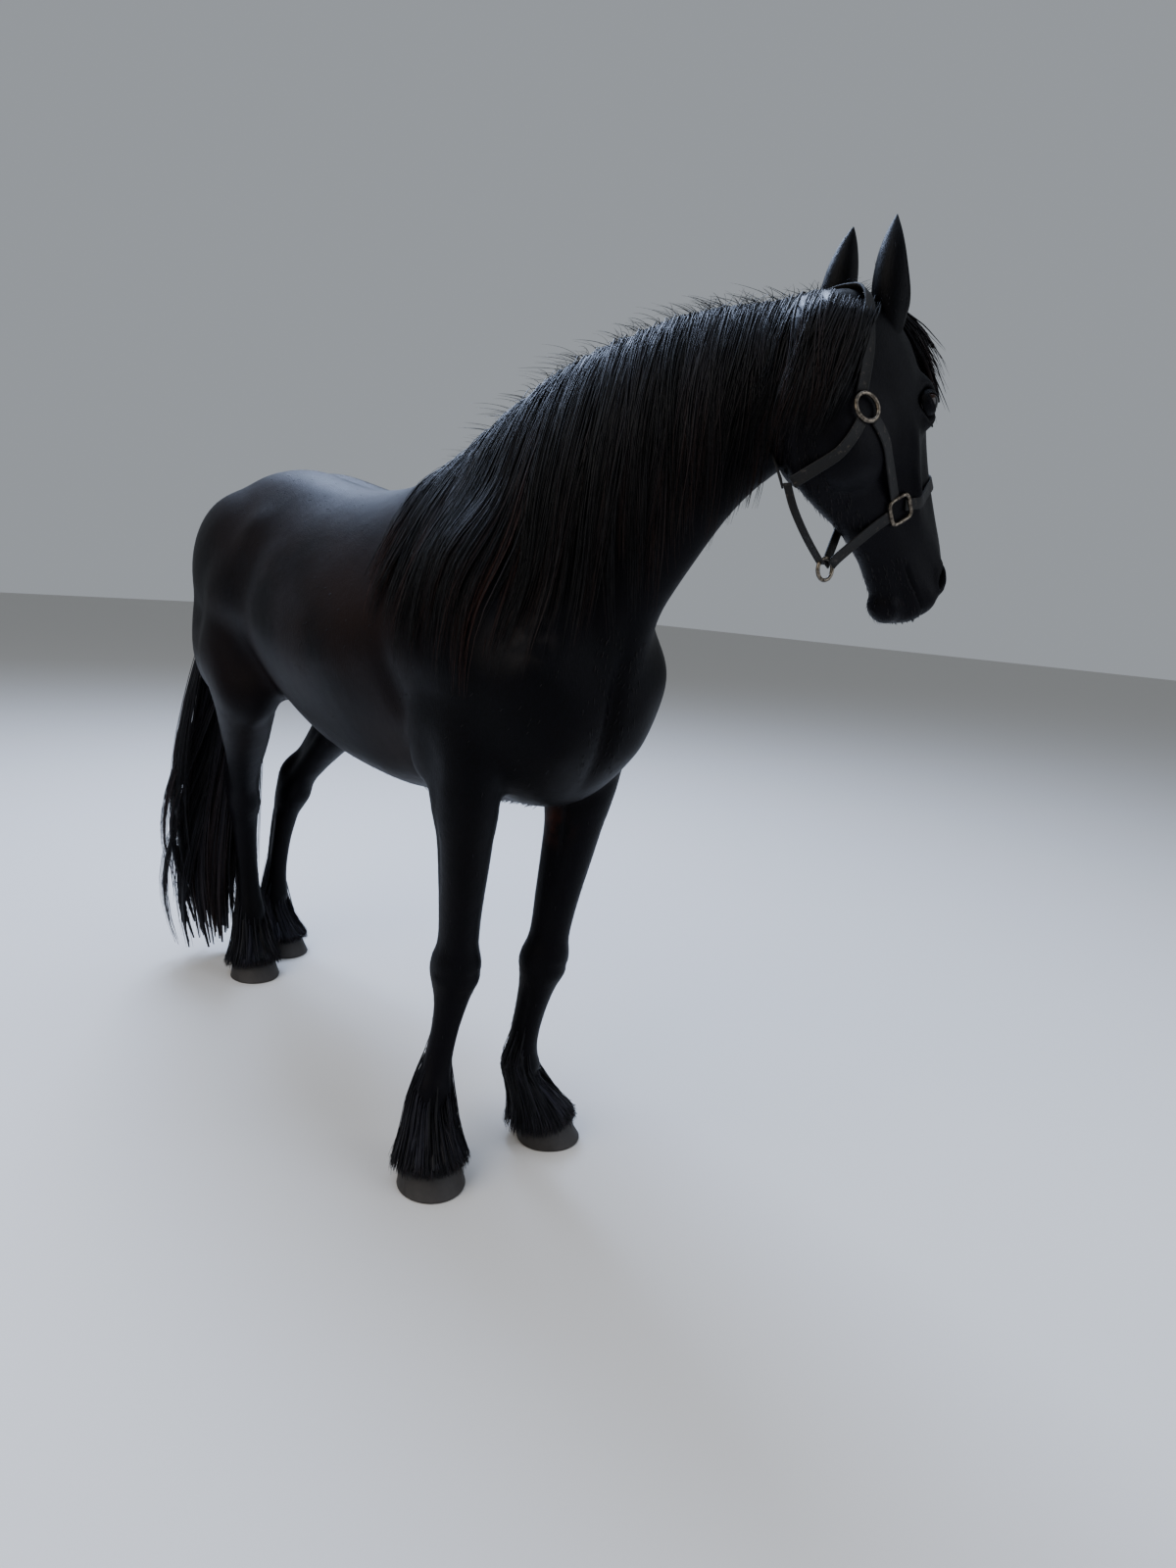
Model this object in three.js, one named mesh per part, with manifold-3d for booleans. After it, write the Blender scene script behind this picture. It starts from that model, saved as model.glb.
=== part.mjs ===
// A friesian horse that stands square with its head turned to its left, in its halter.
// Millimetres. X runs forward, Y to the horse's left and Z up. The soles stand at Z = 0.
// Body forms are lofts of named cross sections; long hair is flat tapered locks rooted in them.

import * as THREE from 'three';
import { mergeVertices } from 'three/addons/utils/BufferGeometryUtils.js';
import Module from 'manifold-3d';

const wasm = await Module();
wasm.setup();

// Driving sizes
const GAP = 0.3;
const CUT_CLEAR = 0.7;
const HOOF_HEIGHT = 64;
const EYE_RADIUS = 24;
const EAR_LENGTH = 156;
const STRAP_WIDTH = 27;
const STRAP_THICKNESS = 5;
const RING_RADIUS = 24;
const RING_WIRE = 4;
const CHIN_RING_RADIUS = 20;
const FLOOR_CLEAR = 6;
const BODY_SIDES = 16;
const LEG_SIDES = 10;
const HEAD_SIDES = 16;

const UP = new THREE.Vector3(0, 0, 1);
const LEFT = new THREE.Vector3(0, 1, 0);

function point(x, y, z) {
  return new THREE.Vector3(x, y, z);
}

// The head has a frame of its own: along runs from poll to muzzle, brow out of the forehead,
// right to the horse's right.
const POLL = point(617, 248, 1872);
const HEAD_HEADING = THREE.MathUtils.degToRad(86);
const HEAD_TILT = THREE.MathUtils.degToRad(33);
const HEAD_FORWARD = point(Math.cos(HEAD_HEADING), Math.sin(HEAD_HEADING), 0);
const HEAD_RIGHT = new THREE.Vector3().crossVectors(HEAD_FORWARD, UP);
const HEAD_ALONG = HEAD_FORWARD.clone().multiplyScalar(Math.sin(HEAD_TILT))
  .addScaledVector(UP, -Math.cos(HEAD_TILT));
const HEAD_BROW = HEAD_FORWARD.clone().multiplyScalar(Math.cos(HEAD_TILT))
  .addScaledVector(UP, Math.sin(HEAD_TILT));

function onHead(along, brow, right) {
  return POLL.clone()
    .addScaledVector(HEAD_ALONG, along)
    .addScaledVector(HEAD_BROW, brow)
    .addScaledVector(HEAD_RIGHT, right);
}

// Where each foot stands, which way it points, and the joints above it.
const FEET = {
  right_fore: {
    sole: point(60, -208, 0),
    heading: -20,
    joints: [point(70, -200, 1060), point(75, -178, 870), point(-5, -125, 465), point(-8, -170, 188)],
  },
  left_fore: {
    sole: point(55, 125, 0),
    heading: 36,
    joints: [point(70, 180, 1060), point(76, 138, 870), point(45, 88, 458), point(12, 72, 188)],
  },
  right_hind: {
    sole: point(-1238, -57, 0),
    heading: -5,
    joints: [point(-1120, -180, 1150), point(-1010, -188, 960), point(-1328, -62, 568), point(-1312, -40, 190)],
  },
  left_hind: {
    sole: point(-1385, 112, 0),
    heading: 12,
    joints: [point(-1130, 180, 1150), point(-1030, 192, 960), point(-1385, 135, 572), point(-1452, 105, 190)],
  },
};

// Cross sections of the trunk, from the buttocks to the breast.
const TRUNK = [
  { x: -1402, top: 1310, bottom: 1160, half: 50, roof: 1, floor: 1 },
  { x: -1365, top: 1420, bottom: 1060, half: 150, roof: 0.85, floor: 1 },
  { x: -1280, top: 1500, bottom: 985, half: 235, roof: 0.8, floor: 0.9 },
  { x: -1100, top: 1583, bottom: 930, half: 290, roof: 0.8, floor: 0.8 },
  { x: -900, top: 1590, bottom: 925, half: 300, roof: 0.75, floor: 0.7 },
  { x: -600, top: 1532, bottom: 840, half: 315, roof: 0.8, floor: 0.75 },
  { x: -350, top: 1538, bottom: 812, half: 315, roof: 0.7, floor: 0.75 },
  { x: -220, top: 1592, bottom: 818, half: 298, roof: 0.5, floor: 0.75 },
  { x: -100, top: 1610, bottom: 828, half: 280, roof: 0.45, floor: 0.75 },
  { x: 50, top: 1560, bottom: 848, half: 268, roof: 0.5, floor: 0.75 },
  { x: 180, top: 1450, bottom: 868, half: 245, roof: 0.6, floor: 0.8 },
  { x: 270, top: 1320, bottom: 965, half: 185, roof: 0.8, floor: 0.9 },
  { x: 312, top: 1215, bottom: 1060, half: 80, roof: 1, floor: 1 },
];

// Rounded muscle masses over the trunk: centre on the right side, radii, and slope in degrees.
const MUSCLES = [
  { centre: point(70, -168, 1210), radii: point(135, 95, 255), slope: -24 },
  { centre: point(25, -170, 1010), radii: point(150, 92, 135), slope: 0 },
  { centre: point(240, -80, 1080), radii: point(62, 80, 120), slope: 0 },
  { centre: point(-1090, -150, 1290), radii: point(270, 135, 230), slope: 12 },
  { centre: point(-1210, -150, 1120), radii: point(170, 115, 240), slope: 10 },
  { centre: point(-990, -190, 1000), radii: point(115, 75, 140), slope: -12 },
];

// The neck from withers to poll: crest point, throat point and half width.
const NECK = [
  { crest: point(-231, 0, 1580), throat: point(290, 0, 1020), half: 190 },
  { crest: point(-90, 0, 1668), throat: point(328, 22, 1150), half: 165 },
  { crest: point(37, 2, 1728), throat: point(345, 50, 1255), half: 135 },
  { crest: point(139, 14, 1770), throat: point(382, 85, 1340), half: 112 },
  { crest: point(244, 42, 1806), throat: point(424, 118, 1425), half: 98 },
  { crest: point(334, 79, 1834), throat: point(460, 150, 1492), half: 92 },
  { crest: point(414, 122, 1850), throat: point(496, 185, 1542), half: 90 },
  { crest: point(488, 169, 1858), throat: point(534, 222, 1592), half: 88 },
  { crest: point(560, 215, 1872), throat: point(575, 262, 1640), half: 78 },
  { crest: point(600, 250, 1855), throat: point(605, 285, 1720), half: 50 },
];

// The head along its own axis: brow line, jaw line, half width, and where the widest level is.
const HEAD = [
  { along: -34, brow: -84, jaw: -142, half: 38, level: 0.5, roof: 0.9, floor: 0.9 },
  { along: -4, brow: -40, jaw: -182, half: 66, level: 0.45, roof: 0.8, floor: 0.8 },
  { along: 40, brow: 2, jaw: -222, half: 86, level: 0.4, roof: 0.75, floor: 0.7 },
  { along: 96, brow: 30, jaw: -272, half: 98, level: 0.36, roof: 0.72, floor: 0.6 },
  { along: 154, brow: 39, jaw: -300, half: 102, level: 0.34, roof: 0.72, floor: 0.55 },
  { along: 212, brow: 39, jaw: -300, half: 99, level: 0.34, roof: 0.7, floor: 0.52 },
  { along: 278, brow: 34, jaw: -270, half: 85, level: 0.38, roof: 0.68, floor: 0.52 },
  { along: 352, brow: 29, jaw: -224, half: 69, level: 0.45, roof: 0.7, floor: 0.6 },
  { along: 430, brow: 23, jaw: -192, half: 61, level: 0.5, roof: 0.75, floor: 0.7 },
  { along: 496, brow: 13, jaw: -182, half: 61, level: 0.48, roof: 0.8, floor: 0.75 },
  { along: 544, brow: -5, jaw: -180, half: 60, level: 0.48, roof: 0.85, floor: 0.7 },
  { along: 576, brow: -30, jaw: -166, half: 52, level: 0.5, roof: 0.85, floor: 0.8 },
  { along: 594, brow: -62, jaw: -138, half: 30, level: 0.5, roof: 0.9, floor: 0.9 },
];

// Leg sections: at counts the joints from 0 at the top to 4 at the coronet.
const FORELEG = [
  { at: 0, front: 95, back: 105, side: 66 },
  { at: 0.5, front: 96, back: 108, side: 66 },
  { at: 1, front: 80, back: 94, side: 70 },
  { at: 1.25, front: 63, back: 68, side: 55 },
  { at: 1.55, front: 53, back: 53, side: 49 },
  { at: 1.8, front: 49, back: 46, side: 47 },
  { at: 1.93, front: 56, back: 50, side: 56 },
  { at: 2.05, front: 56, back: 54, side: 57 },
  { at: 2.2, front: 42, back: 47, side: 44 },
  { at: 2.45, front: 33, back: 42, side: 34 },
  { at: 2.75, front: 33, back: 43, side: 35 },
  { at: 3, front: 42, back: 48, side: 43 },
  { at: 3.35, front: 36, back: 40, side: 39 },
  { at: 3.7, front: 44, back: 43, side: 47 },
  { at: 4, front: 55, back: 52, side: 56 },
];
const HINDLEG = [
  { at: 0, front: 130, back: 200, side: 100 },
  { at: 0.5, front: 128, back: 190, side: 98 },
  { at: 1, front: 100, back: 170, side: 88 },
  { at: 1.3, front: 76, back: 122, side: 74 },
  { at: 1.6, front: 58, back: 80, side: 58 },
  { at: 1.8, front: 50, back: 70, side: 46 },
  { at: 1.95, front: 58, back: 74, side: 50 },
  { at: 2.1, front: 54, back: 60, side: 49 },
  { at: 2.25, front: 42, back: 50, side: 41 },
  { at: 2.5, front: 34, back: 45, side: 35 },
  { at: 2.75, front: 34, back: 45, side: 36 },
  { at: 3, front: 42, back: 49, side: 44 },
  { at: 3.35, front: 36, back: 40, side: 39 },
  { at: 3.7, front: 44, back: 43, side: 47 },
  { at: 4, front: 55, back: 52, side: 55 },
];

const CORONET_SLOPE = THREE.MathUtils.degToRad(17);
const CORONET_BACK = 20;

// The hoof from the sole up: level, forward shift of the ring, front, back and side radii.
const HOOF = [
  { z: 0, shift: 0, front: 80, back: 68, side: 72 },
  { z: 5, shift: 0, front: 83, back: 70, side: 76 },
  { z: 24, shift: -6, front: 75, back: 66, side: 71 },
];

const TAIL_CORE = [
  { centre: point(-1340, 0, 1400), wide: 34, deep: 32 },
  { centre: point(-1396, -4, 1384), wide: 40, deep: 34 },
  { centre: point(-1436, -14, 1310), wide: 44, deep: 34 },
  { centre: point(-1448, -30, 1180), wide: 48, deep: 34 },
  { centre: point(-1450, -48, 1010), wide: 50, deep: 34 },
  { centre: point(-1454, -68, 850), wide: 42, deep: 28 },
  { centre: point(-1456, -82, 740), wide: 22, deep: 16 },
];

const COAT = { color: 0x17151a, roughness: 0.5, metalness: 0 };
const HAIR = { color: 0x100e10, roughness: 0.6, metalness: 0 };
const HORN = { color: 0x2b2724, roughness: 0.7, metalness: 0 };
const EYE = { color: 0x0b0706, roughness: 0.08, metalness: 0 };
const STRAP = { color: 0x1a1714, roughness: 0.75, metalness: 0 };
const METAL = { color: 0xb4b1aa, roughness: 0.35, metalness: 1 };

// A seeded draw, so that the hair falls the same way each time.
function seeded(seed) {
  let state = seed;
  return () => {
    state = (state * 1664525 + 1013904223) % 4294967296;
    return state / 4294967296;
  };
}

// Rows of numbers and points become evenly spread rows on a smooth curve through them.
function smoothRows(rows, steps) {
  const keys = Object.keys(rows[0]);
  const last = rows.length - 1;
  const result = [];
  for (let i = 0; i <= steps; i += 1) {
    const place = (last * i) / steps;
    const index = Math.min(Math.floor(place), last - 1);
    const blend = place - index;
    const near = [index - 1, index, index + 1, index + 2]
      .map((k) => rows[THREE.MathUtils.clamp(k, 0, last)]);
    const row = {};
    for (const key of keys) {
      const values = near.map((r) => r[key]);
      row[key] = values[0].isVector3
        ? point(...['x', 'y', 'z'].map((axis) => spline(values.map((p) => p[axis]), blend)))
        : spline(values, blend);
    }
    result.push(row);
  }
  return result;
}

function spline([a, b, c, d], t) {
  const start = (c - a) / 2;
  const end = (d - b) / 2;
  return (2 * b - 2 * c + start + end) * t ** 3 + (3 * c - 3 * b - 2 * start - end) * t ** 2 + start * t + b;
}

// One closed cross section. roof and floor narrow it towards its top and bottom.
function sectionRing(section, sides, grow) {
  const { at, up, side, top, bottom, half, roof = 1, floor = 1, square = 0.88 } = section;
  const ring = [];
  for (let i = 0; i < sides; i += 1) {
    const angle = (2 * Math.PI * (i + 0.5)) / sides;
    const cos = Math.cos(angle);
    const sin = Math.sin(angle);
    const height = Math.sign(sin) * Math.abs(sin) ** square;
    const narrow = height > 0 ? 1 + (roof - 1) * height : 1 - (floor - 1) * height;
    const width = Math.sign(cos) * Math.abs(cos) ** square * narrow;
    const reach = (height > 0 ? top : bottom) + grow;
    ring.push(at.clone().addScaledVector(up, height * reach).addScaledVector(side, width * (half + grow)));
  }
  return ring;
}

// Rings of equal count, joined side by side and closed at both ends.
function loftGeometry(rings) {
  const sides = rings[0].length;
  const last = rings.length - 1;
  const points = rings.flat();
  const faces = [];
  const quad = (a, b, c, d) => {
    faces.push(a, b, c, a, c, d);
  };
  for (let r = 0; r < last; r += 1) {
    for (let i = 0; i < sides; i += 1) {
      const next = (i + 1) % sides;
      quad(r * sides + i, r * sides + next, (r + 1) * sides + next, (r + 1) * sides + i);
    }
  }
  const middle = (ring) => ring.reduce((sum, p) => sum.add(p), point(0, 0, 0)).divideScalar(sides);
  points.push(middle(rings[0]), middle(rings[last]));
  for (let i = 0; i < sides; i += 1) {
    const next = (i + 1) % sides;
    faces.push(points.length - 2, next, i);
    faces.push(points.length - 1, last * sides + i, last * sides + next);
  }
  const geometry = new THREE.BufferGeometry();
  geometry.setAttribute('position', new THREE.Float32BufferAttribute(points.flatMap((p) => p.toArray()), 3));
  geometry.setIndex(faces);
  return geometry;
}

// A closed geometry as a solid, turned right side out.
function solid(geometry) {
  const bare = geometry.clone();
  bare.deleteAttribute('normal');
  bare.deleteAttribute('uv');
  const merged = mergeVertices(bare, 1e-4);
  const vertices = merged.attributes.position.array;
  const corners = Array.from(merged.index.array);
  const a = new THREE.Vector3();
  const b = new THREE.Vector3();
  const c = new THREE.Vector3();
  let volume = 0;
  const kept = [];
  for (let i = 0; i < corners.length; i += 3) {
    const [p, q, r] = [corners[i], corners[i + 1], corners[i + 2]];
    if (p !== q && q !== r && r !== p) {
      kept.push(p, q, r);
      a.fromArray(vertices, 3 * p);
      b.fromArray(vertices, 3 * q);
      c.fromArray(vertices, 3 * r);
      volume += a.dot(b.cross(c));
    }
  }
  if (volume < 0) kept.reverse();
  return new wasm.Manifold(new wasm.Mesh({
    numProp: 3,
    vertProperties: new Float32Array(vertices),
    triVerts: new Uint32Array(kept),
  }));
}

// A closed form through cross sections; grow moves all of it outward, its ends too.
function loft(sections, sides, grow = 0) {
  const last = sections.length - 1;
  const rings = sections.map((section) => sectionRing(section, sides, grow));
  for (const [end, inner] of [[0, 1], [last, last - 1]]) {
    const out = sections[end].at.clone().sub(sections[inner].at).normalize().multiplyScalar(grow);
    rings[end].forEach((place) => place.add(out));
  }
  return solid(loftGeometry(rings));
}

function join(solids) {
  return solids.reduce((whole, piece) => whole.add(piece));
}

// The largest closed surface of a solid, without scraps or sealed hollows.
function largest(whole) {
  const parts = whole.decompose();
  return parts.reduce((best, part) => (part.volume() > best.volume() ? part : best));
}

function ellipsoid(centre, radii, turn = new THREE.Quaternion(), grow = 0, detail = 12) {
  const geometry = new THREE.SphereGeometry(1, detail, Math.round(detail * 0.7));
  geometry.scale(radii.x + grow, radii.y + grow, radii.z + grow);
  geometry.applyQuaternion(turn);
  geometry.translate(centre.x, centre.y, centre.z);
  return solid(geometry);
}

const HEAD_TURN = new THREE.Quaternion().setFromRotationMatrix(
  new THREE.Matrix4().makeBasis(HEAD_RIGHT, HEAD_BROW, HEAD_ALONG.clone().negate()),
);

// An ellipsoid in the head's frame: radii across, towards the brow and along.
function headBall(along, brow, right, radii, grow = 0, detail = 12) {
  return ellipsoid(onHead(along, brow, right), radii, HEAD_TURN, grow, detail);
}

// A flat block in the head's frame, given by two points of its middle line seen from the side.
function headSlab(from, to, right, width) {
  const start = onHead(from.along, from.brow, 0);
  const end = onHead(to.along, to.brow, 0);
  const middle = start.clone().add(end).divideScalar(2).addScaledVector(HEAD_RIGHT, right.middle);
  const run = end.clone().sub(start);
  const across = new THREE.Vector3().crossVectors(run, HEAD_RIGHT).normalize();
  const geometry = new THREE.BoxGeometry(run.length(), width, right.span);
  geometry.applyMatrix4(new THREE.Matrix4().makeBasis(run.clone().normalize(), across, HEAD_RIGHT));
  geometry.translate(middle.x, middle.y, middle.z);
  return solid(geometry);
}

function trunkForm(grow) {
  const sections = smoothRows(TRUNK, 14).map((row) => {
    const widest = row.bottom + 0.48 * (row.top - row.bottom);
    return {
      at: point(row.x, 0, widest),
      up: UP,
      side: LEFT,
      top: row.top - widest,
      bottom: widest - row.bottom,
      half: row.half,
      roof: row.roof,
      floor: row.floor,
    };
  });
  const muscles = MUSCLES.flatMap(({ centre, radii, slope }) => [-1, 1].map((flank) => {
    const turn = new THREE.Quaternion().setFromAxisAngle(LEFT, THREE.MathUtils.degToRad(slope));
    return ellipsoid(point(centre.x, -flank * centre.y, centre.z), radii, turn, grow, 10);
  }));
  return join([loft(sections, BODY_SIDES, grow), ...muscles]);
}

function neckSections() {
  const rows = smoothRows(NECK, 10);
  return rows.map((row, i) => {
    const before = rows[Math.max(i - 1, 0)];
    const after = rows[Math.min(i + 1, rows.length - 1)];
    const middle = row.crest.clone().add(row.throat).divideScalar(2);
    const run = after.crest.clone().add(after.throat).sub(before.crest).sub(before.throat);
    const up = row.crest.clone().sub(row.throat).normalize();
    const reach = row.crest.distanceTo(row.throat) / 2;
    return {
      at: middle,
      up,
      side: new THREE.Vector3().crossVectors(up, run).normalize(),
      top: reach,
      bottom: reach,
      half: row.half,
      roof: 0.55,
      floor: 0.85,
      square: 0.95,
    };
  });
}

function neckForm(grow) {
  return loft(neckSections(), 14, grow);
}

function headForm(grow) {
  const sections = smoothRows(HEAD, 14).map((row) => {
    const top = row.level * (row.brow - row.jaw);
    return {
      at: onHead(row.along, row.brow - top, 0),
      up: HEAD_BROW,
      side: HEAD_RIGHT,
      top,
      bottom: row.brow - row.jaw - top,
      half: row.half,
      roof: row.roof,
      floor: row.floor,
      square: 0.85,
    };
  });
  const details = [1, -1].flatMap((side) => [
    headBall(186, -172, 42 * side, point(50, 108, 100), grow, 10),
    headBall(530, -62, 36 * side, point(29, 34, 42), grow, 10),
    headBall(290, -80, 66 * side, point(15, 9, 76), grow, 8),
  ]);
  return join([loft(sections, HEAD_SIDES, grow), ...details, headBall(540, -164, 0, point(36, 28, 36), grow, 10)]);
}

function legPath(foot) {
  const forward = footForward(foot);
  const coronet = foot.sole.clone().addScaledVector(forward, -CORONET_BACK).setZ(HOOF_HEIGHT);
  return new THREE.CatmullRomCurve3([...foot.joints, coronet], false, 'centripetal');
}

function footForward(foot) {
  const heading = THREE.MathUtils.degToRad(foot.heading);
  return point(Math.cos(heading), Math.sin(heading), 0);
}

function coronetAxes(foot) {
  const forward = footForward(foot);
  const up = forward.clone().multiplyScalar(Math.cos(CORONET_SLOPE)).addScaledVector(UP, Math.sin(CORONET_SLOPE));
  const side = new THREE.Vector3().crossVectors(UP, forward).normalize();
  return { up, side, out: new THREE.Vector3().crossVectors(up, side) };
}

function legForm(foot, rows, grow = 0) {
  const path = legPath(foot);
  const forward = footForward(foot);
  const sections = rows.map((row) => {
    const at = path.getPoint(row.at / 4);
    const run = path.getTangent(row.at / 4);
    const upper = THREE.MathUtils.clamp((2 - row.at) / 2, 0, 1);
    const ahead = forward.clone().lerp(point(1, 0, 0), upper);
    let up = ahead.addScaledVector(run, -ahead.dot(run)).normalize();
    let side = new THREE.Vector3().crossVectors(up, run).normalize();
    if (row.at === 4) ({ up, side } = coronetAxes(foot));
    if (side.dot(coronetAxes(foot).side) < 0) side.negate();
    return { at, up, side, top: row.front, bottom: row.back, half: row.side, square: 0.95 };
  });
  return loft(sections, LEG_SIDES, grow);
}

function hoofForm(foot, grow = 0) {
  const forward = footForward(foot);
  const axes = coronetAxes(foot);
  const rings = HOOF.map((row) => sectionRing({
    at: foot.sole.clone().addScaledVector(forward, row.shift).setZ(row.z - (row.z === 0 ? grow : 0)),
    up: forward,
    side: axes.side,
    top: row.front,
    bottom: row.back,
    half: row.side,
    square: 1,
  }, 16, grow));
  const top = foot.sole.clone().addScaledVector(forward, -CORONET_BACK).setZ(HOOF_HEIGHT);
  top.addScaledVector(axes.out, axes.out.z > 0 ? -GAP : GAP);
  rings.push(sectionRing({ at: top, ...axes, top: 57, bottom: 54, half: 58, square: 1 }, 16, grow));
  return solid(loftGeometry(rings));
}

// One flat lock of hair that bends along its path and tapers to its tip.
function lockOfHair(path, outward, width, thickness, steps, grow = 0) {
  const curve = new THREE.CatmullRomCurve3(path);
  const rings = [];
  for (let i = 0; i <= steps; i += 1) {
    const t = i / steps;
    const run = curve.getTangent(t);
    const at = curve.getPoint(t).addScaledVector(run, i === steps ? grow : 0);
    const face = outward.clone().addScaledVector(run, -outward.dot(run)).normalize();
    const across = new THREE.Vector3().crossVectors(run, face).normalize();
    const taper = Math.max(0.06, Math.sin(Math.PI * (0.28 + 0.7 * t)) ** 0.8);
    const broad = width * taper + 2 * grow;
    const thick = thickness * Math.max(0.2, 1 - t * 0.75) + 2 * grow;
    rings.push([
      at.clone().addScaledVector(across, broad / 2),
      at.clone().addScaledVector(face, thick / 2),
      at.clone().addScaledVector(across, -broad / 2),
      at.clone().addScaledVector(face, -thick / 2),
    ]);
  }
  return solid(loftGeometry(rings));
}

// A cast of one form, used to find where hair comes to lie on it.
function surfaceOf(form) {
  const mesh = new THREE.Mesh(geometryOf(form), new THREE.MeshStandardMaterial({ side: THREE.DoubleSide }));
  mesh.updateMatrixWorld();
  return mesh;
}

const caster = new THREE.Raycaster();

// How far to the right of the middle plane the form reaches at a place seen from the right.
function rightSide(mesh, x, z) {
  caster.set(point(x, -2000, z), LEFT);
  const [hit] = caster.intersectObject(mesh);
  return hit ? hit.point.y : null;
}

function geometryOf(form) {
  const { vertProperties, triVerts, numProp } = form.getMesh();
  const geometry = new THREE.BufferGeometry();
  const places = [];
  for (let i = 0; i < vertProperties.length; i += numProp) {
    places.push(vertProperties[i], vertProperties[i + 1], vertProperties[i + 2]);
  }
  geometry.setAttribute('position', new THREE.Float32BufferAttribute(places, 3));
  geometry.setIndex(Array.from(triVerts));
  geometry.computeVertexNormals();
  return geometry;
}

// The mane: locks rooted along the crest that fall over the right side of the neck.
const MANE = { locks: 9, layers: 2, width: 112, thickness: 15, steps: 4 };

function maneLocks(drapedOver) {
  const draw = seeded(11);
  const fine = 60;
  const rows = smoothRows(NECK, fine);
  const locks = [];
  for (let layer = 0; layer < MANE.layers; layer += 1) {
    for (let i = 0; i < MANE.locks; i += 1) {
      const t = 0.07 + (0.84 * (i + 0.5 * layer)) / MANE.locks;
      const row = rows[Math.round(t * fine)];
      const inward = row.throat.clone().sub(row.crest).normalize();
      const root = row.crest.clone().addScaledVector(inward, 24);
      const length = 430 - 190 * t ** 3 + 60 * (draw() - 0.5) - 60 * layer;
      const drift = -25 - 30 * draw();
      const wave = 6 + 8 * draw();
      const phase = draw() * 6;
      const lift = 17 + 17 * layer;
      const path = [root, row.crest.clone().addScaledVector(inward, -6 - 6 * layer).add(point(0, -10, 0))];
      let y = row.crest.y - 24;
      for (let k = 1; k <= 6; k += 1) {
        const fall = (k / 6) ** 0.9;
        const x = row.crest.x + drift * fall + wave * Math.sin(phase + 4.5 * fall);
        const z = row.crest.z - 4 - length * fall;
        const side = rightSide(drapedOver, x, z);
        const limit = side === null ? y : side - lift;
        y = Math.min(limit, y * 0.5 + limit * 0.5);
        path.push(point(x, y, z));
      }
      const width = MANE.width * (0.85 + 0.3 * draw());
      locks.push(lockOfHair(path, point(0.15, -1, 0.25), width, MANE.thickness, MANE.steps));
    }
  }
  return locks;
}

// The forelock falls from between the ears over the forehead.
const FORELOCK = { locks: 6, width: 46, thickness: 12, steps: 4, length: 225 };

function forelockLocks(grow = 0) {
  const draw = seeded(23);
  const locks = [];
  for (let i = 0; i < FORELOCK.locks; i += 1) {
    const spread = (i / (FORELOCK.locks - 1)) * 2 - 1;
    const length = FORELOCK.length * (0.75 + 0.35 * draw());
    const lift = 8 + 9 * (i % 3);
    const path = [0, 1, 2, 3, 4, 5].map((k) => {
      const fall = k / 5;
      const along = 14 + length * fall;
      const right = spread * (24 + 44 * fall) + 6 * Math.sin(5 * fall + i);
      const brow = k === 0 ? -34 : 22 + lift + 14 * Math.sin(Math.PI * fall * 0.7) - 0.003 * right * right;
      return onHead(along, brow, right);
    });
    locks.push(lockOfHair(path, HEAD_BROW, FORELOCK.width, FORELOCK.thickness, FORELOCK.steps, grow));
  }
  return locks;
}

// The tail: locks rooted all round the dock that hang to just above the ground.
const TAIL = { locks: 12, width: 94, thickness: 20, steps: 4, lowest: 55 };

function tailCore(grow = 0) {
  const sections = smoothRows(TAIL_CORE, 9).map((row) => ({
    at: row.centre, up: point(-1, 0, 0), side: LEFT, top: row.deep, bottom: row.deep, half: row.wide, square: 1,
  }));
  sections[0].up = UP.clone();
  sections[1].up = point(-0.5, 0, 0.87).normalize();
  return loft(sections, 10, grow);
}

function tailLocks() {
  const draw = seeded(37);
  const rows = smoothRows(TAIL_CORE, 40);
  const locks = [];
  for (let i = 0; i < TAIL.locks; i += 1) {
    const around = i * 2.4;
    const start = 12 + Math.floor(24 * ((i * 7) % TAIL.locks) / TAIL.locks);
    const row = rows[start];
    const out = point(-Math.sin(around), Math.cos(around), 0);
    const reach = point(out.x * row.deep, out.y * row.wide, 0);
    const root = row.centre.clone().addScaledVector(reach, 0.45);
    const tip = TAIL.lowest + 190 * draw() ** 2;
    const drop = root.z - tip;
    const swing = point(-62 + 40 * draw(), -40 - 45 * draw(), 0);
    const fan = 45 + 45 * draw();
    const phase = draw() * 6;
    const path = [root];
    for (let k = 1; k <= 6; k += 1) {
      const fall = k / 6;
      const belly = Math.sin(Math.PI * Math.min(1, 0.15 + 0.75 * fall));
      path.push(row.centre.clone()
        .add(reach)
        .addScaledVector(out, 6 + fan * belly * 0.55)
        .addScaledVector(swing, fall)
        .add(point(7 * Math.sin(phase + 6 * fall), 9 * Math.cos(phase + 5 * fall), -drop * fall)));
    }
    locks.push(lockOfHair(path, out, TAIL.width * (0.75 + 0.5 * draw()), TAIL.thickness, TAIL.steps));
  }
  return locks;
}

// Feather: locks round the back and sides of each fetlock that fan out over the hoof.
const FEATHER = { locks: 7, width: 68, thickness: 15, steps: 4 };

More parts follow.
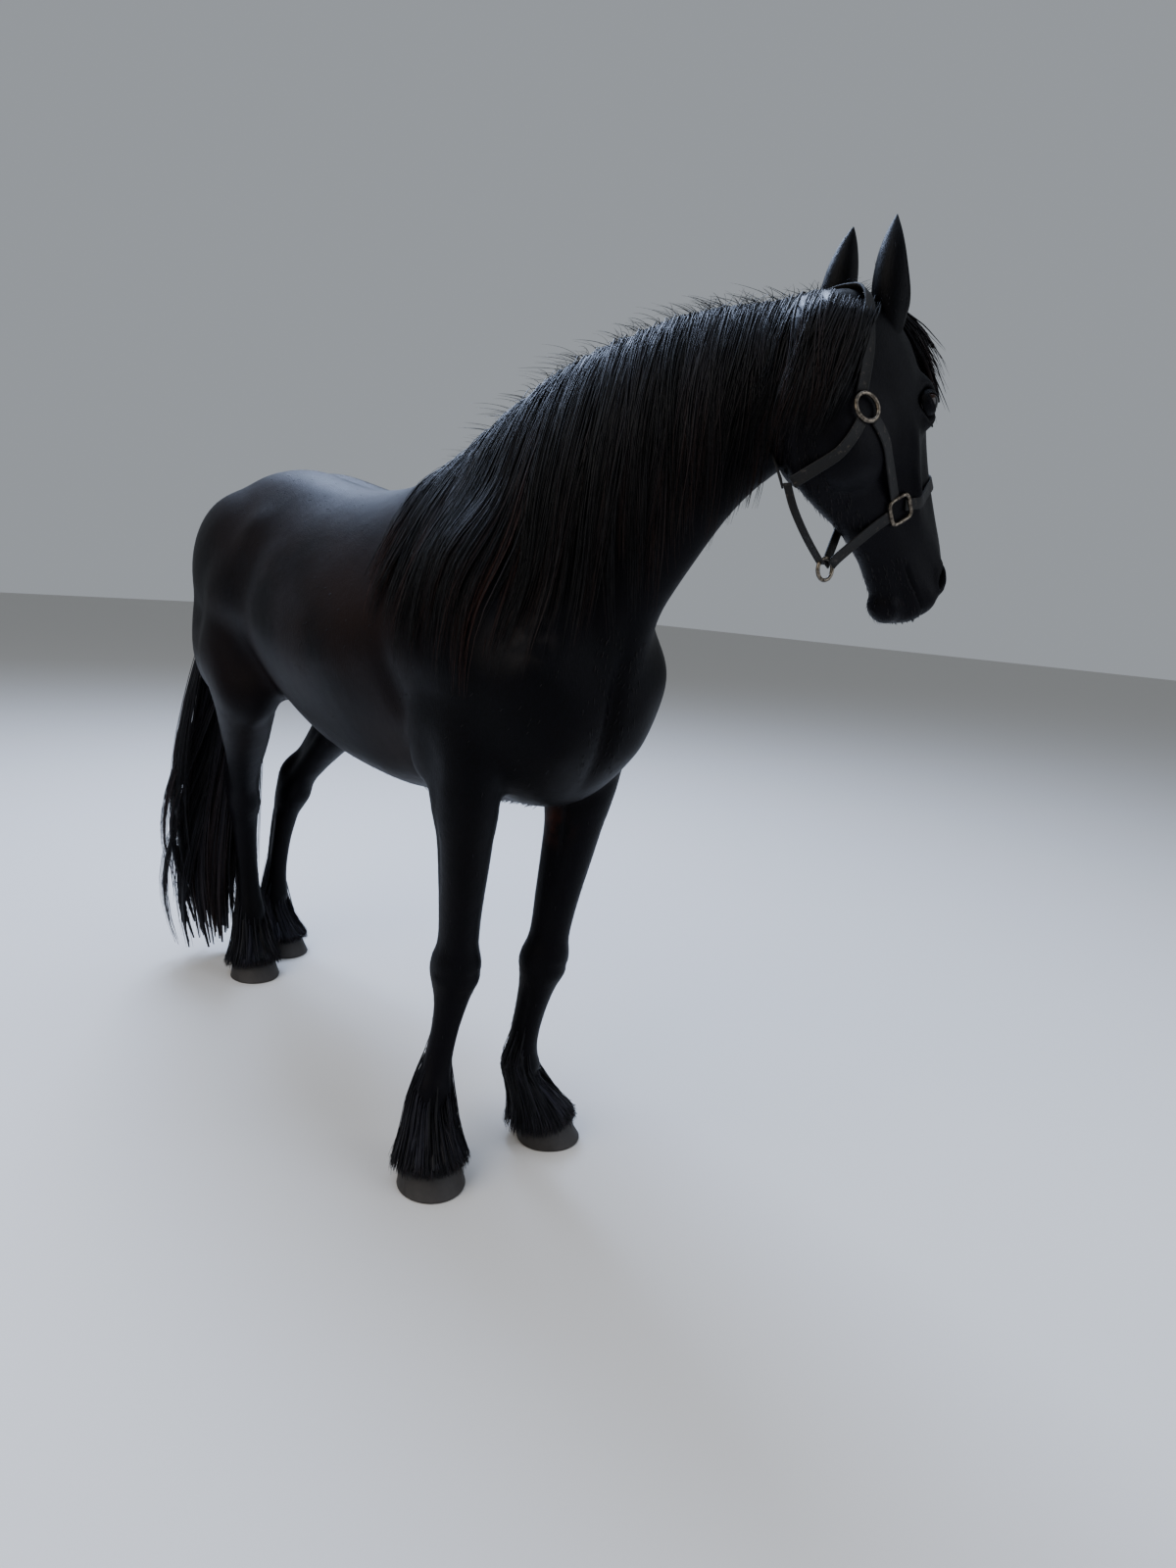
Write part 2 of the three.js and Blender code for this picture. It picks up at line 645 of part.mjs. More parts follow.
function featherLocks(foot, rows, seed, grow = 0) {
  const draw = seeded(seed);
  const path = legPath(foot);
  const forward = footForward(foot);
  const side = new THREE.Vector3().crossVectors(UP, forward).normalize();
  const sizes = smoothRows(rows, 200);
  const locks = [];
  for (let i = 0; i < FEATHER.locks; i += 1) {
    const behind = Math.PI + ((i + 0.5) / FEATHER.locks - 0.5) * 1.75 * Math.PI;
    const rear = 0.5 - 0.5 * Math.cos(behind);
    const start = 3.45 - 0.75 * rear * draw();
    const row = sizes.reduce((best, r) => (Math.abs(r.at - start) < Math.abs(best.at - start) ? r : best));
    const centre = path.getPoint(start / 4);
    const out = forward.clone().multiplyScalar(Math.cos(behind)).addScaledVector(side, Math.sin(behind));
    const skin = (Math.cos(behind) > 0 ? row.front : row.back) * Math.cos(behind) ** 2
      + row.side * Math.sin(behind) ** 2;
    const tip = FLOOR_CLEAR + 14 + 34 * (1 - rear) + 16 * draw();
    const ends = foot.sole.clone().addScaledVector(out, 76 + 16 * rear).setZ(tip);
    const begins = centre.clone().addScaledVector(out, skin);
    const bend = begins.clone().lerp(ends, 0.5).addScaledVector(out, 14 + 8 * rear);
    const points = [centre.clone().addScaledVector(out, skin * 0.6), begins.clone().addScaledVector(UP, -14)
      .addScaledVector(out, 5), bend, ends];
    const width = FEATHER.width * (0.8 + 0.4 * draw());
    locks.push(lockOfHair(points, out, width, FEATHER.thickness, FEATHER.steps, grow));
  }
  return locks;
}

// An ear: a leaf-shaped cup that opens forward, on a stem that sinks into the head.
const EAR = [
  { at: -0.16, wide: 24, deep: 24 },
  { at: 0, wide: 27, deep: 27 },
  { at: 0.2, wide: 32, deep: 30 },
  { at: 0.4, wide: 32, deep: 29 },
  { at: 0.6, wide: 27, deep: 24 },
  { at: 0.8, wide: 17, deep: 15 },
  { at: 0.94, wide: 8, deep: 8 },
  { at: 1, wide: 2, deep: 2 },
];

function earForm(side, grow = 0) {
  const base = onHead(34, -50, side > 0 ? 64 : -56);
  const run = point(0, 0, 0).addScaledVector(HEAD_ALONG, -0.88).addScaledVector(HEAD_BROW, 0.46)
    .addScaledVector(HEAD_RIGHT, side > 0 ? 0.02 : 0.12).normalize();
  const open = HEAD_FORWARD.clone().addScaledVector(HEAD_RIGHT, 0.75 * side);
  const ahead = open.addScaledVector(run, -open.dot(run)).normalize();
  const across = new THREE.Vector3().crossVectors(run, ahead).normalize();
  const rows = smoothRows(EAR, 8);
  const section = (row, shift, thinner) => ({
    at: base.clone()
      .addScaledVector(run, EAR_LENGTH * row.at)
      .addScaledVector(HEAD_RIGHT, -14 * side * Math.max(0, row.at) ** 2)
      .addScaledVector(ahead, shift + 12 * Math.max(0, row.at) ** 2),
    up: ahead,
    side: across,
    top: Math.max(row.deep - thinner, 0.8),
    bottom: Math.max(row.deep - thinner, 0.8),
    half: Math.max(row.wide - thinner, 0.8),
    square: 1,
  });
  const outer = loft(rows.map((row) => section(row, 0, 0)), 10, grow);
  if (grow > 0) return outer;
  const hollow = rows.filter((row) => row.at > 0.12 && row.at < 0.97);
  return outer.subtract(loft(hollow.map((row) => section(row, 14, 5)), 8));
}

// The places of eyes, nostrils and mouth in the head's frame.
const EYE_PLACE = { along: 200, brow: -30, right: 80 };
const NOSTRIL = { along: 534, brow: -66, right: 62 };
const MOUTH_CORNER = { along: 470, brow: -132 };
const MOUTH_FRONT = { along: 620, brow: -106 };
const MOUTH_LINE = 3.5;
const MOUTH_DEPTH = 9;

function eyeBall(side, grow, detail) {
  const centre = onHead(EYE_PLACE.along, EYE_PLACE.brow, EYE_PLACE.right * side);
  return ellipsoid(centre, point(EYE_RADIUS, EYE_RADIUS, EYE_RADIUS), HEAD_TURN, grow, detail);
}

// The head with brows, lids, nostrils and the line of the mouth.
function headDetailed() {
  const { along, brow, right } = EYE_PLACE;
  const added = [1, -1].flatMap((side) => [
    headBall(along - 10, brow + 20, 74 * side, point(25, 15, 44), 0, 10),
    headBall(along + 1, brow, 76 * side, point(30, 23, 35), 0, 10),
  ]);
  let head = join([headForm(0), ...added]);
  for (const side of [1, -1]) {
    const opening = headBall(along + 1, brow - 1, (right + 24) * side, point(16, 11, 19), 0, 10);
    const nostril = [
      headBall(NOSTRIL.along - 6, NOSTRIL.brow + 8, NOSTRIL.right * side, point(17, 9, 16), 0, 8),
      headBall(NOSTRIL.along + 8, NOSTRIL.brow - 6, NOSTRIL.right * side, point(16, 13, 11), 0, 8),
    ];
    head = head.subtract(join([opening, ...nostril])).subtract(eyeBall(side, GAP, 10));
  }
  const mouth = headSlab(MOUTH_CORNER, MOUTH_FRONT, { middle: 0, span: 160 }, MOUTH_LINE);
  return head.subtract(mouth.subtract(headForm(-MOUTH_DEPTH)));
}

function ringForm(centre, axis, radius, wire, grow = 0) {
  const geometry = new THREE.TorusGeometry(radius, wire + grow, 5, 12);
  geometry.applyQuaternion(new THREE.Quaternion().setFromUnitVectors(UP, axis));
  geometry.translate(centre.x, centre.y, centre.z);
  return solid(geometry);
}

// Places of the halter's hardware in the head's frame, seen from the side.
const CHEEK_RING = { along: 139, brow: -190 };
const NOSE_RING = { along: 354, brow: -126 };
const CHIN_RING = { along: 388, brow: -292 };
const CROWN_TOP = { along: -72, brow: -38 };
const NOSE_TOP = { along: 372, brow: 60 };
const CHIN_EDGE = { along: 362, brow: -262 };
const THROAT_BACK = { along: 172, brow: -378 };
const JAW_LOW = { along: 176, brow: -318 };

// The place and outward direction on a form's side at a spot of the head's frame.
function surfacePlace(mesh, spot, side) {
  caster.set(onHead(spot.along, spot.brow, 400 * side), HEAD_RIGHT.clone().multiplyScalar(-side));
  const [hit] = caster.intersectObject(mesh);
  return { at: hit.point.clone(), axis: hit.face.normal.clone() };
}

// The free end of a chin strap, from the edge of the jaw down to the chin ring.
function chinDrop(side) {
  const start = onHead(368, -216, 34 * side);
  const end = onHead(CHIN_RING.along - 3, CHIN_RING.brow + 14, 5 * side);
  const drop = strapRun([start, start.clone().lerp(end, 0.5), end], HEAD_RIGHT, STRAP_WIDTH * 0.9);
  return drop.subtract(headForm(CUT_CLEAR));
}

// A strap that hangs free between two places, flat across the given direction.
function strapRun(path, outward, width) {
  const curve = new THREE.CatmullRomCurve3(path);
  const steps = 8;
  const rings = [];
  for (let i = 0; i <= steps; i += 1) {
    const at = curve.getPoint(i / steps);
    const run = curve.getTangent(i / steps);
    const face = outward.clone().addScaledVector(run, -outward.dot(run)).normalize();
    const across = new THREE.Vector3().crossVectors(run, face).normalize();
    const corner = (a, f) => at.clone()
      .addScaledVector(across, (a * width) / 2)
      .addScaledVector(face, (f * STRAP_THICKNESS) / 2);
    rings.push([corner(1, 1), corner(-1, 1), corner(-1, -1), corner(1, -1)]);
  }
  return solid(loftGeometry(rings));
}

// The strap from the chin ring back to the throat strap, under the jaw.
function jawStrap() {
  const path = [
    [CHIN_RING.along - 14, CHIN_RING.brow - 6],
    [322, -312],
    [264, -320],
    [JAW_LOW.along, JAW_LOW.brow],
  ];
  const points = path.map(([along, brow]) => onHead(along, brow, 0));
  return strapRun(points, HEAD_BROW, STRAP_WIDTH * 0.8);
}

// The round place that a ring takes up, where no strap lies.
function ringRoom(centre, axis) {
  const reach = RING_RADIUS + RING_WIRE + 1.5;
  const geometry = new THREE.CylinderGeometry(reach, reach, 40, 14);
  geometry.applyQuaternion(new THREE.Quaternion().setFromUnitVectors(LEFT, axis));
  geometry.translate(centre.x, centre.y, centre.z);
  return solid(geometry);
}

// Straps are strips of a skin that lies over the head; each ends at the hardware that it meets.
// The head's left cheek is turned into the neck, so the left straps there cross the neck's fold.
function halterPieces() {
  const skinOf = (form) => form(STRAP_THICKNESS + CUT_CLEAR).subtract(form(CUT_CLEAR));
  const skin = skinOf(headForm).subtract(neckForm(CUT_CLEAR));
  const crownSkin = skinOf(headAndNeck);
  const lift = CUT_CLEAR + RING_WIRE + 2.5;
  const seats = [surfaceOf(headForm(lift)), surfaceOf(headAndNeck(lift))];
  const chin = onHead(CHIN_RING.along, CHIN_RING.brow, 0);
  const pieces = { halter_chin_ring: ringForm(chin, HEAD_RIGHT, CHIN_RING_RADIUS, RING_WIRE) };
  const chinRoom = ringForm(chin, HEAD_RIGHT, CHIN_RING_RADIUS, RING_WIRE, GAP + 0.2);
  for (const [name, side] of [['right', 1], ['left', -1]]) {
    const half = { middle: 100 * side, span: 199 };
    const hardware = [['cheek', CHEEK_RING], ['nose', NOSE_RING]].map(([spot, where]) => {
      const { at, axis } = surfacePlace(side > 0 ? seats[0] : seats[1], where, side);
      pieces[`halter_${spot}_ring_${name}`] = ringForm(at, axis, RING_RADIUS, RING_WIRE);
      return ringRoom(at, axis);
    });
    const cheekSkin = side > 0 ? skin : crownSkin;
    const room = join([...hardware, chinRoom]);
    const runs = {
      crown: [CHEEK_RING, CROWN_TOP, crownSkin],
      cheek: [CHEEK_RING, NOSE_RING, cheekSkin],
      nose: [NOSE_RING, NOSE_TOP, skin],
      chin: [NOSE_RING, CHIN_EDGE, skin],
      throat: [CHEEK_RING, THROAT_BACK, skin],
    };
    for (const [run, [from, to, source]] of Object.entries(runs)) {
      const strip = source.intersect(headSlab(from, to, half, STRAP_WIDTH));
      const whole = run === 'chin' ? strip.add(chinDrop(side)) : strip;
      pieces[`halter_${run}_${name}`] = largest(whole.subtract(room));
    }
  }
  const across = headSlab(CHEEK_RING, THROAT_BACK, { middle: 0, span: 398 }, STRAP_WIDTH + 1);
  const low = jawStrap().subtract(headForm(CUT_CLEAR)).subtract(chinRoom).subtract(across);
  pieces.halter_jaw = largest(low.subtract(neckForm(CUT_CLEAR)));
  return pieces;
}

const group = new THREE.Group();
group.name = 'friesian_horse';

function place(name, form, look) {
  const mesh = new THREE.Mesh(geometryOf(form), new THREE.MeshStandardMaterial(look));
  mesh.name = name;
  group.add(mesh);
}

function box(low, high) {
  const size = high.clone().sub(low);
  const geometry = new THREE.BoxGeometry(size.x, size.y, size.z);
  geometry.translate((low.x + high.x) / 2, (low.y + high.y) / 2, (low.z + high.z) / 2);
  return solid(geometry);
}

// The legs part from the trunk at level cuts: below the elbow and below the flank.
const FORE_CUT = 828;
const HIND_CUT = 900;
const BETWEEN_HIND = 30;

function legRegion(name, raise) {
  const fore = name.endsWith('fore');
  const middle = fore ? 0 : BETWEEN_HIND;
  const low = fore ? point(-55, middle, -50) : point(-1750, middle, -50);
  const high = fore ? point(450, 500, FORE_CUT + raise) : point(-830, 500, HIND_CUT + raise);
  if (name.startsWith('right')) {
    [low.y, high.y] = [-500, middle];
  }
  return box(low, high);
}

// The neck parts from the trunk at a sloping cut, from the withers to the breast.
function neckRegion(shift) {
  const start = point(-112, 0, 1690);
  const end = point(350, 0, 1160);
  const run = end.clone().sub(start).normalize();
  const ahead = new THREE.Vector3().crossVectors(run, LEFT).normalize();
  if (ahead.x < 0) ahead.negate();
  const geometry = new THREE.BoxGeometry(1400, 1400, 1400);
  geometry.applyMatrix4(new THREE.Matrix4().makeBasis(run, LEFT, new THREE.Vector3().crossVectors(run, LEFT)));
  const middle = start.clone().add(end).divideScalar(2).addScaledVector(ahead, 700 + shift);
  geometry.translate(middle.x, middle.y, middle.z);
  return solid(geometry);
}

const headAndNeck = (grow) => join([headForm(grow), neckForm(grow)]);
const trunkFat = trunkForm(CUT_CLEAR);
const headFat = headForm(CUT_CLEAR);
const earsFat = join([earForm(1, CUT_CLEAR), earForm(-1, CUT_CLEAR)]);
const tack = halterPieces();
const tackRoom = headAndNeck(STRAP_THICKNESS + 2 * CUT_CLEAR).subtract(headAndNeck(-2));
const crownRoom = tackRoom.intersect(headSlab(CHEEK_RING, CROWN_TOP, { middle: 0, span: 398 }, STRAP_WIDTH + 2));

const legs = {};
for (const [name, foot] of Object.entries(FEET)) {
  legs[name] = legForm(foot, name.endsWith('fore') ? FORELEG : HINDLEG);
}
const whole = join([trunkForm(0), neckForm(0), ...Object.values(legs)]);

let torso = whole.subtract(neckRegion(0));
for (const name of Object.keys(FEET)) {
  torso = torso.subtract(legRegion(name, GAP));
}
place('torso', largest(torso), COAT);

const drapedOver = surfaceOf(join([trunkForm(0), neckForm(0)]));
const bareNeck = whole.intersect(neckRegion(GAP));
const shoulders = trunkFat.add(neckForm(CUT_CLEAR)).subtract(neckRegion(GAP));
const mane = join(maneLocks(drapedOver)).subtract(shoulders);
const neckRoom = join([headFat, crownRoom, earsFat, ...forelockLocks(CUT_CLEAR)]);
place('neck', largest(bareNeck.add(mane).subtract(neckRoom)), COAT);

const forelock = join(forelockLocks());
const head = headDetailed().add(forelock.subtract(earsFat).subtract(crownRoom));
place('head', largest(head), COAT);

for (const [name, side] of [['right', 1], ['left', -1]]) {
  place(`ear_${name}`, largest(earForm(side).subtract(headForm(CUT_CLEAR)).subtract(crownRoom)), COAT);
  place(`eye_${name}`, eyeBall(side, 0, 10), EYE);
}

const legRoom = [];
Object.entries(FEET).forEach(([name, foot], i) => {
  const rows = name.endsWith('fore') ? FORELEG : HINDLEG;
  const feather = join(featherLocks(foot, rows, 51 + i)).subtract(hoofForm(foot, CUT_CLEAR));
  legRoom.push(legForm(foot, rows, CUT_CLEAR), hoofForm(foot, CUT_CLEAR), ...featherLocks(foot, rows, 51 + i, CUT_CLEAR));
  const shank = whole.intersect(legRegion(name, 0));
  place(`leg_${name}`, largest(shank.add(feather)), COAT);
  place(`hoof_${name}`, hoofForm(foot), HORN);
});

const tail = join([tailCore(), ...tailLocks()]);
place('tail', largest(tail.subtract(trunkFat).subtract(join(legRoom))), HAIR);

for (const [name, form] of Object.entries(tack)) {
  place(name, form.subtract(earsFat), name.includes('ring') ? METAL : STRAP);
}

const model = new THREE.Group();
model.name = 'friesian_horse_standing';
const extent = new THREE.Box3().setFromObject(group);
group.position.set(-(extent.min.x + extent.max.x) / 2, -(extent.min.y + extent.max.y) / 2, 0);
model.add(group);

export default model;
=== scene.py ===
"""A black Friesian horse that stands with its head turned to its left, in a worn halter."""

import logging
import math
from dataclasses import dataclass, field
from enum import Enum
from typing import Iterable, Sequence

import bmesh
import bpy
import numpy as np
from mathutils import Matrix, Vector
from mathutils.bvhtree import BVHTree


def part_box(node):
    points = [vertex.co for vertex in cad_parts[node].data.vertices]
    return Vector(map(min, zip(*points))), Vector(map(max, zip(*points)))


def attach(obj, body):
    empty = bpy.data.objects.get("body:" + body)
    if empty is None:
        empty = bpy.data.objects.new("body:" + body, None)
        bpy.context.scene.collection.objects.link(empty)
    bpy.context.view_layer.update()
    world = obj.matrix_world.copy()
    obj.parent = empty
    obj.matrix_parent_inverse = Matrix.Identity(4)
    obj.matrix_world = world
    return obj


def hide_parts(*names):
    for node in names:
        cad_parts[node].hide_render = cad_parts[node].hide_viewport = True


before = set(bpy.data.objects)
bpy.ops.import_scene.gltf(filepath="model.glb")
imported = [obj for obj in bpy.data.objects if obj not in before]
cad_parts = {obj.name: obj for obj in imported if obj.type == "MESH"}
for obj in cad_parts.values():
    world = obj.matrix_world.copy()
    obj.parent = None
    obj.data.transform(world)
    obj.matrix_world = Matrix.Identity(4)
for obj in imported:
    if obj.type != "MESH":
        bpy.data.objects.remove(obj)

Array = np.ndarray
Piece = bpy.types.Object
Tree = bpy.types.NodeTree
Socket = bpy.types.NodeSocket
Random = np.random.Generator
Triple = tuple[float, float, float]
Rows = tuple[tuple[float, ...], ...]

LOG = logging.getLogger("horse")
MM = 0.001
UP = np.array([0.0, 0.0, 1.0])
LEFT = np.array([0.0, 1.0, 0.0])
AHEAD = np.array([1.0, 0.0, 0.0])
# A turn by this angle never repeats, so that locks spread evenly round a middle line.
GOLDEN_ANGLE = 2.399963
# Steps by these shares spread evenly between 0 and 1, and out of step with each other.
GOLDEN_SHARE, SILVER_SHARE = 0.618034, 0.41421
# The places of the colour sockets on Blender's mix node, where several share one name.
COLOUR_A, COLOUR_B, MIXED_COLOUR = 6, 7, 2


class Side(Enum):
    """A side of the horse, as the sign of the head's rightward axis."""

    RIGHT = 1
    LEFT = -1


class Foot(Enum):
    """The four feet, named as the frame's nodes are."""

    RIGHT_FORE = "right_fore"
    LEFT_FORE = "left_fore"
    RIGHT_HIND = "right_hind"
    LEFT_HIND = "left_hind"


def unit(vector: Array) -> Array:
    """Scales vectors, held in the last axis, to length one."""
    length = np.linalg.norm(vector, axis=-1, keepdims=True)
    return vector / np.maximum(length, 1e-9)


def spline_rows(rows: Array, steps: int) -> Array:
    """Spreads rows evenly on a smooth curve through the given ones.

    Args:
        rows: One row of numbers for each station.
        steps: How many spans the result has.

    Returns:
        steps + 1 rows.
    """
    rows = np.asarray(rows, float)
    last = len(rows) - 1
    place = np.linspace(0, last, steps + 1)
    index = np.minimum(place.astype(int), last - 1)
    t = (place - index)[:, None]
    before, here, after, beyond = (rows[np.clip(index + k, 0, last)] for k in (-1, 0, 1, 2))
    start = (after - before) / 2
    end = (beyond - here) / 2
    return ((2 * here - 2 * after + start + end) * t ** 3
            + (3 * after - 3 * here - 2 * start - end) * t ** 2 + start * t + here)


@dataclass(frozen=True)
class HeadFrame:
    """The head's axes, in millimetres: along to the muzzle, brow forward, right across."""

    poll: Triple = (617.0, 248.0, 1872.0)
    heading: float = 86.0
    tilt: float = 33.0

    @property
    def forward(self) -> Array:
        """The level direction in which the head looks."""
        angle = math.radians(self.heading)
        return np.array([math.cos(angle), math.sin(angle), 0.0])

    @property
    def axes(self) -> Array:
        """Rows of along, brow and right.

        Returns:
            Three unit rows in the horse's frame.
        """
        tilt = math.radians(self.tilt)
        along = self.forward * math.sin(tilt) - UP * math.cos(tilt)
        brow = self.forward * math.cos(tilt) + UP * math.sin(tilt)
        return np.array([along, brow, np.cross(self.forward, UP)])

    def at(self, along: float, brow: float, right: float) -> Array:
        """The place of a spot on the head, in the horse's millimetres."""
        return np.array(self.poll) + np.array([along, brow, right]) @ self.axes

    def within(self, places: Array) -> Array:
        """Turns places of the horse into along, brow and right."""
        return (places - np.array(self.poll)) @ self.axes.T

    def mirrored(self, vectors: Array) -> Array:
        """Turns directions, or gaps from the poll, over to the other side of the head."""
        return (vectors @ self.axes.T * np.array([1, 1, -1])) @ self.axes


HEAD_FRAME = HeadFrame()


@dataclass(frozen=True)
class EyeSizes:
    """The eyeball, its place and the slant of its opening, in millimetres and degrees."""

    along: float = 200.0
    brow: float = -30.0
    right: float = 80.0
    radius: float = 24.0
    slant: float = 24.0


EYE_SIZES = EyeSizes()


def frame_shift() -> Array:
    """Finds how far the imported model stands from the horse's own origin, from its right eye.

    Returns:
        The gap in scene metres, with no rise.
    """
    low, high = (np.array(corner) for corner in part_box("eye_right"))
    eye = HEAD_FRAME.at(EYE_SIZES.along, EYE_SIZES.brow, EYE_SIZES.right) * MM
    shift = (low + high) / 2 - eye
    shift[2] = 0.0
    return shift


SHIFT = frame_shift()


def to_scene(places: Array) -> Array:
    """Turns the horse's millimetres into scene metres."""
    return np.asarray(places, float) * MM + SHIFT


def to_horse(places: Array) -> Array:
    """Turns scene metres into the horse's millimetres."""
    return (np.asarray(places, float) - SHIFT) / MM


def clear_selection() -> None:
    """Deselects everything, so that an operator acts on its own piece only."""
    if bpy.context.object and bpy.context.object.mode != "OBJECT":
        bpy.ops.object.mode_set(mode="OBJECT")
    bpy.ops.object.select_all(action="DESELECT")


def select_only(piece: Piece) -> None:
    """Makes one piece the selected and active one.

    Args:
        piece: The object to select.
    """
    clear_selection()
    piece.select_set(True)
    bpy.context.view_layer.objects.active = piece


def apply_modifier(piece: Piece, kind: str, **settings: object) -> None:
    """Adds a modifier with its settings and applies it.

    Args:
        piece: The object to change.
        kind: The modifier's type.
        settings: Values for its properties.
    """
    select_only(piece)
    modifier = piece.modifiers.new(kind.lower(), kind)
    for name, value in settings.items():
        setattr(modifier, name, value)
    bpy.ops.object.modifier_apply(modifier=modifier.name)


def mesh_places(piece: Piece) -> Array:
    """Reads all vertices of a piece, in scene metres.

    Args:
        piece: The object to read.

    Returns:
        One row for each vertex.
    """
    flat = np.empty(len(piece.data.vertices) * 3)
    piece.data.vertices.foreach_get("co", flat)
    return flat.reshape(-1, 3)


def mesh_normals(piece: Piece) -> Array:
    """Reads the vertex normals of a piece.

    Args:
        piece: The object to read.

    Returns:
        One unit row for each vertex.
    """
    flat = np.empty(len(piece.data.vertices) * 3)
    piece.data.vertices.foreach_get("normal", flat)
    return flat.reshape(-1, 3)


def set_places(piece: Piece, places: Array) -> None:
    """Writes all vertices of a piece back."""
    piece.data.vertices.foreach_set("co", np.ascontiguousarray(places, float).ravel())
    piece.data.update()


def set_group(piece: Piece, name: str, weights: Array) -> None:
    """Stores a weight for each vertex in a group, in steps of a twentieth.

    Args:
        piece: The object to mark.
        name: The group's name.
        weights: One number from 0 to 1 for each vertex.
    """
    group = piece.vertex_groups.new(name=name)
    steps = np.round(np.clip(weights, 0, 1) * 20).astype(int)
    for step in range(1, 21):
        chosen = np.nonzero(steps == step)[0]
        if len(chosen):
            group.add(chosen.tolist(), step / 20, "REPLACE")


def set_attribute(piece: Piece, name: str, values: Array) -> None:
    """Stores one number for each vertex under a name that a material can read."""
    attribute = piece.data.attributes.new(name, "FLOAT", "POINT")
    attribute.data.foreach_set("value", np.ascontiguousarray(values, np.float32))


def shade_smooth(piece: Piece) -> None:
    """Gives every face of a piece smooth shading."""
    piece.data.polygons.foreach_set("use_smooth", np.ones(len(piece.data.polygons), bool))
    piece.data.update()


def joined(name: str, pieces: Iterable[Piece]) -> Piece:
    """Joins pieces into one object under a new name.

    Args:
        name: The name of the result.
        pieces: The objects to join; the first one stays.

    Returns:
        The joined object.
    """
    pieces = list(pieces)
    clear_selection()
    for piece in pieces:
        piece.select_set(True)
    bpy.context.view_layer.objects.active = pieces[0]
    if len(pieces) > 1:
        bpy.ops.object.join()
    pieces[0].name = name
    pieces[0].data.name = name
    return pieces[0]


@dataclass(frozen=True)
class Section:
    """One closed cross section in millimetres, as its centre, two axes and its reaches."""

    centre: Array
    up: Array
    side: Array
    top: float
    bottom: float
    half: float
    roof: float = 1.0
    floor: float = 1.0
    square: float = 0.88

    def ring(self, sides: int) -> Array:
        """Spreads points round the section, narrowed towards its top and bottom.

        Args:
            sides: How many points the ring has.

        Returns:
            The points in millimetres.
        """
        angle = 2 * np.pi * (np.arange(sides) + 0.5) / sides
        height = np.sign(np.sin(angle)) * np.abs(np.sin(angle)) ** self.square
        narrow = np.where(height > 0, 1 + (self.roof - 1) * height, 1 - (self.floor - 1) * height)
        width = np.sign(np.cos(angle)) * np.abs(np.cos(angle)) ** self.square * narrow
        reach = np.where(height > 0, self.top, self.bottom)
        return (self.centre + np.outer(height * reach, self.up)
                + np.outer(width * self.half, self.side))


def loft(name: str, rings: Sequence[Array]) -> Piece:
    """Extrudes a filled circle from station to station and sets each ring to its section.

    Args:
        name: The new object's name.
        rings: Rings of equal count, in the horse's millimetres.

    Returns:
        A closed object with its normals outward.
    """
    clear_selection()
    sides = len(rings[0])
    bpy.ops.mesh.primitive_circle_add(vertices=sides, radius=1.0, fill_type="NGON")
    piece = bpy.context.active_object
    piece.name = name
    bpy.ops.object.mode_set(mode="EDIT")
    bpy.ops.mesh.select_all(action="SELECT")
    mesh = bmesh.from_edit_mesh(piece.data)
    mesh.verts.ensure_lookup_table()
    current = {vertex.index: vertex.index for vertex in mesh.verts}
    set_ring(mesh, current, rings[0])
    for ring in rings[1:]:
        bpy.ops.mesh.extrude_region()
        mesh = bmesh.from_edit_mesh(piece.data)
        mesh.verts.index_update()
        mesh.verts.ensure_lookup_table()
        current = extruded_ring(mesh, current)
        set_ring(mesh, current, ring)
    bpy.ops.mesh.select_all(action="SELECT")
    bpy.ops.mesh.normals_make_consistent(inside=False)
    bpy.ops.object.mode_set(mode="OBJECT")
    return piece


def extruded_ring(mesh: bmesh.types.BMesh, before: dict[int, int]) -> dict[int, int]:
    """Pairs each selected vertex of a new ring with the place of the one that it grew from.

    Args:
        mesh: The mesh in edit mode.
        before: Each vertex number of the last ring with its place in the ring.

    Returns:
        Each vertex number of the new ring with its place in the ring.
    """
    ring = {}
    for vertex in mesh.verts:
        if vertex.select:
            for edge in vertex.link_edges:
                other = edge.other_vert(vertex)
                if not other.select and other.index in before:
                    ring[vertex.index] = before[other.index]
    return ring


def set_ring(mesh: bmesh.types.BMesh, ring: dict[int, int], places: Array) -> None:
    """Moves the vertices of one ring to their places.

    Args:
        mesh: The mesh in edit mode.
        ring: Each vertex number with its place in the ring.
        places: The ring's points in the horse's millimetres.
    """
    scene_places = to_scene(places)
    for index, order in ring.items():
        mesh.verts[index].co = Vector(scene_places[order])


def ball(name: str, centre: Array, radii: Sequence[float], turn: Array | None = None) -> Piece:
    """Adds a smooth ellipsoid.

    Args:
        name: The new object's name.
        centre: Its centre in the horse's millimetres.
        radii: Its three half sizes in millimetres.
        turn: Rows of the three directions that the radii follow, or None for the horse's axes.

    Returns:
        The ellipsoid, its place in its mesh.
    """
    clear_selection()
    bpy.ops.mesh.primitive_ico_sphere_add(subdivisions=4, radius=1.0)
    piece = bpy.context.active_object
    piece.name = name
    axes = np.eye(3) if turn is None else turn
    set_places(piece, to_scene(mesh_places(piece) * np.array(radii) @ axes + centre))
    return piece
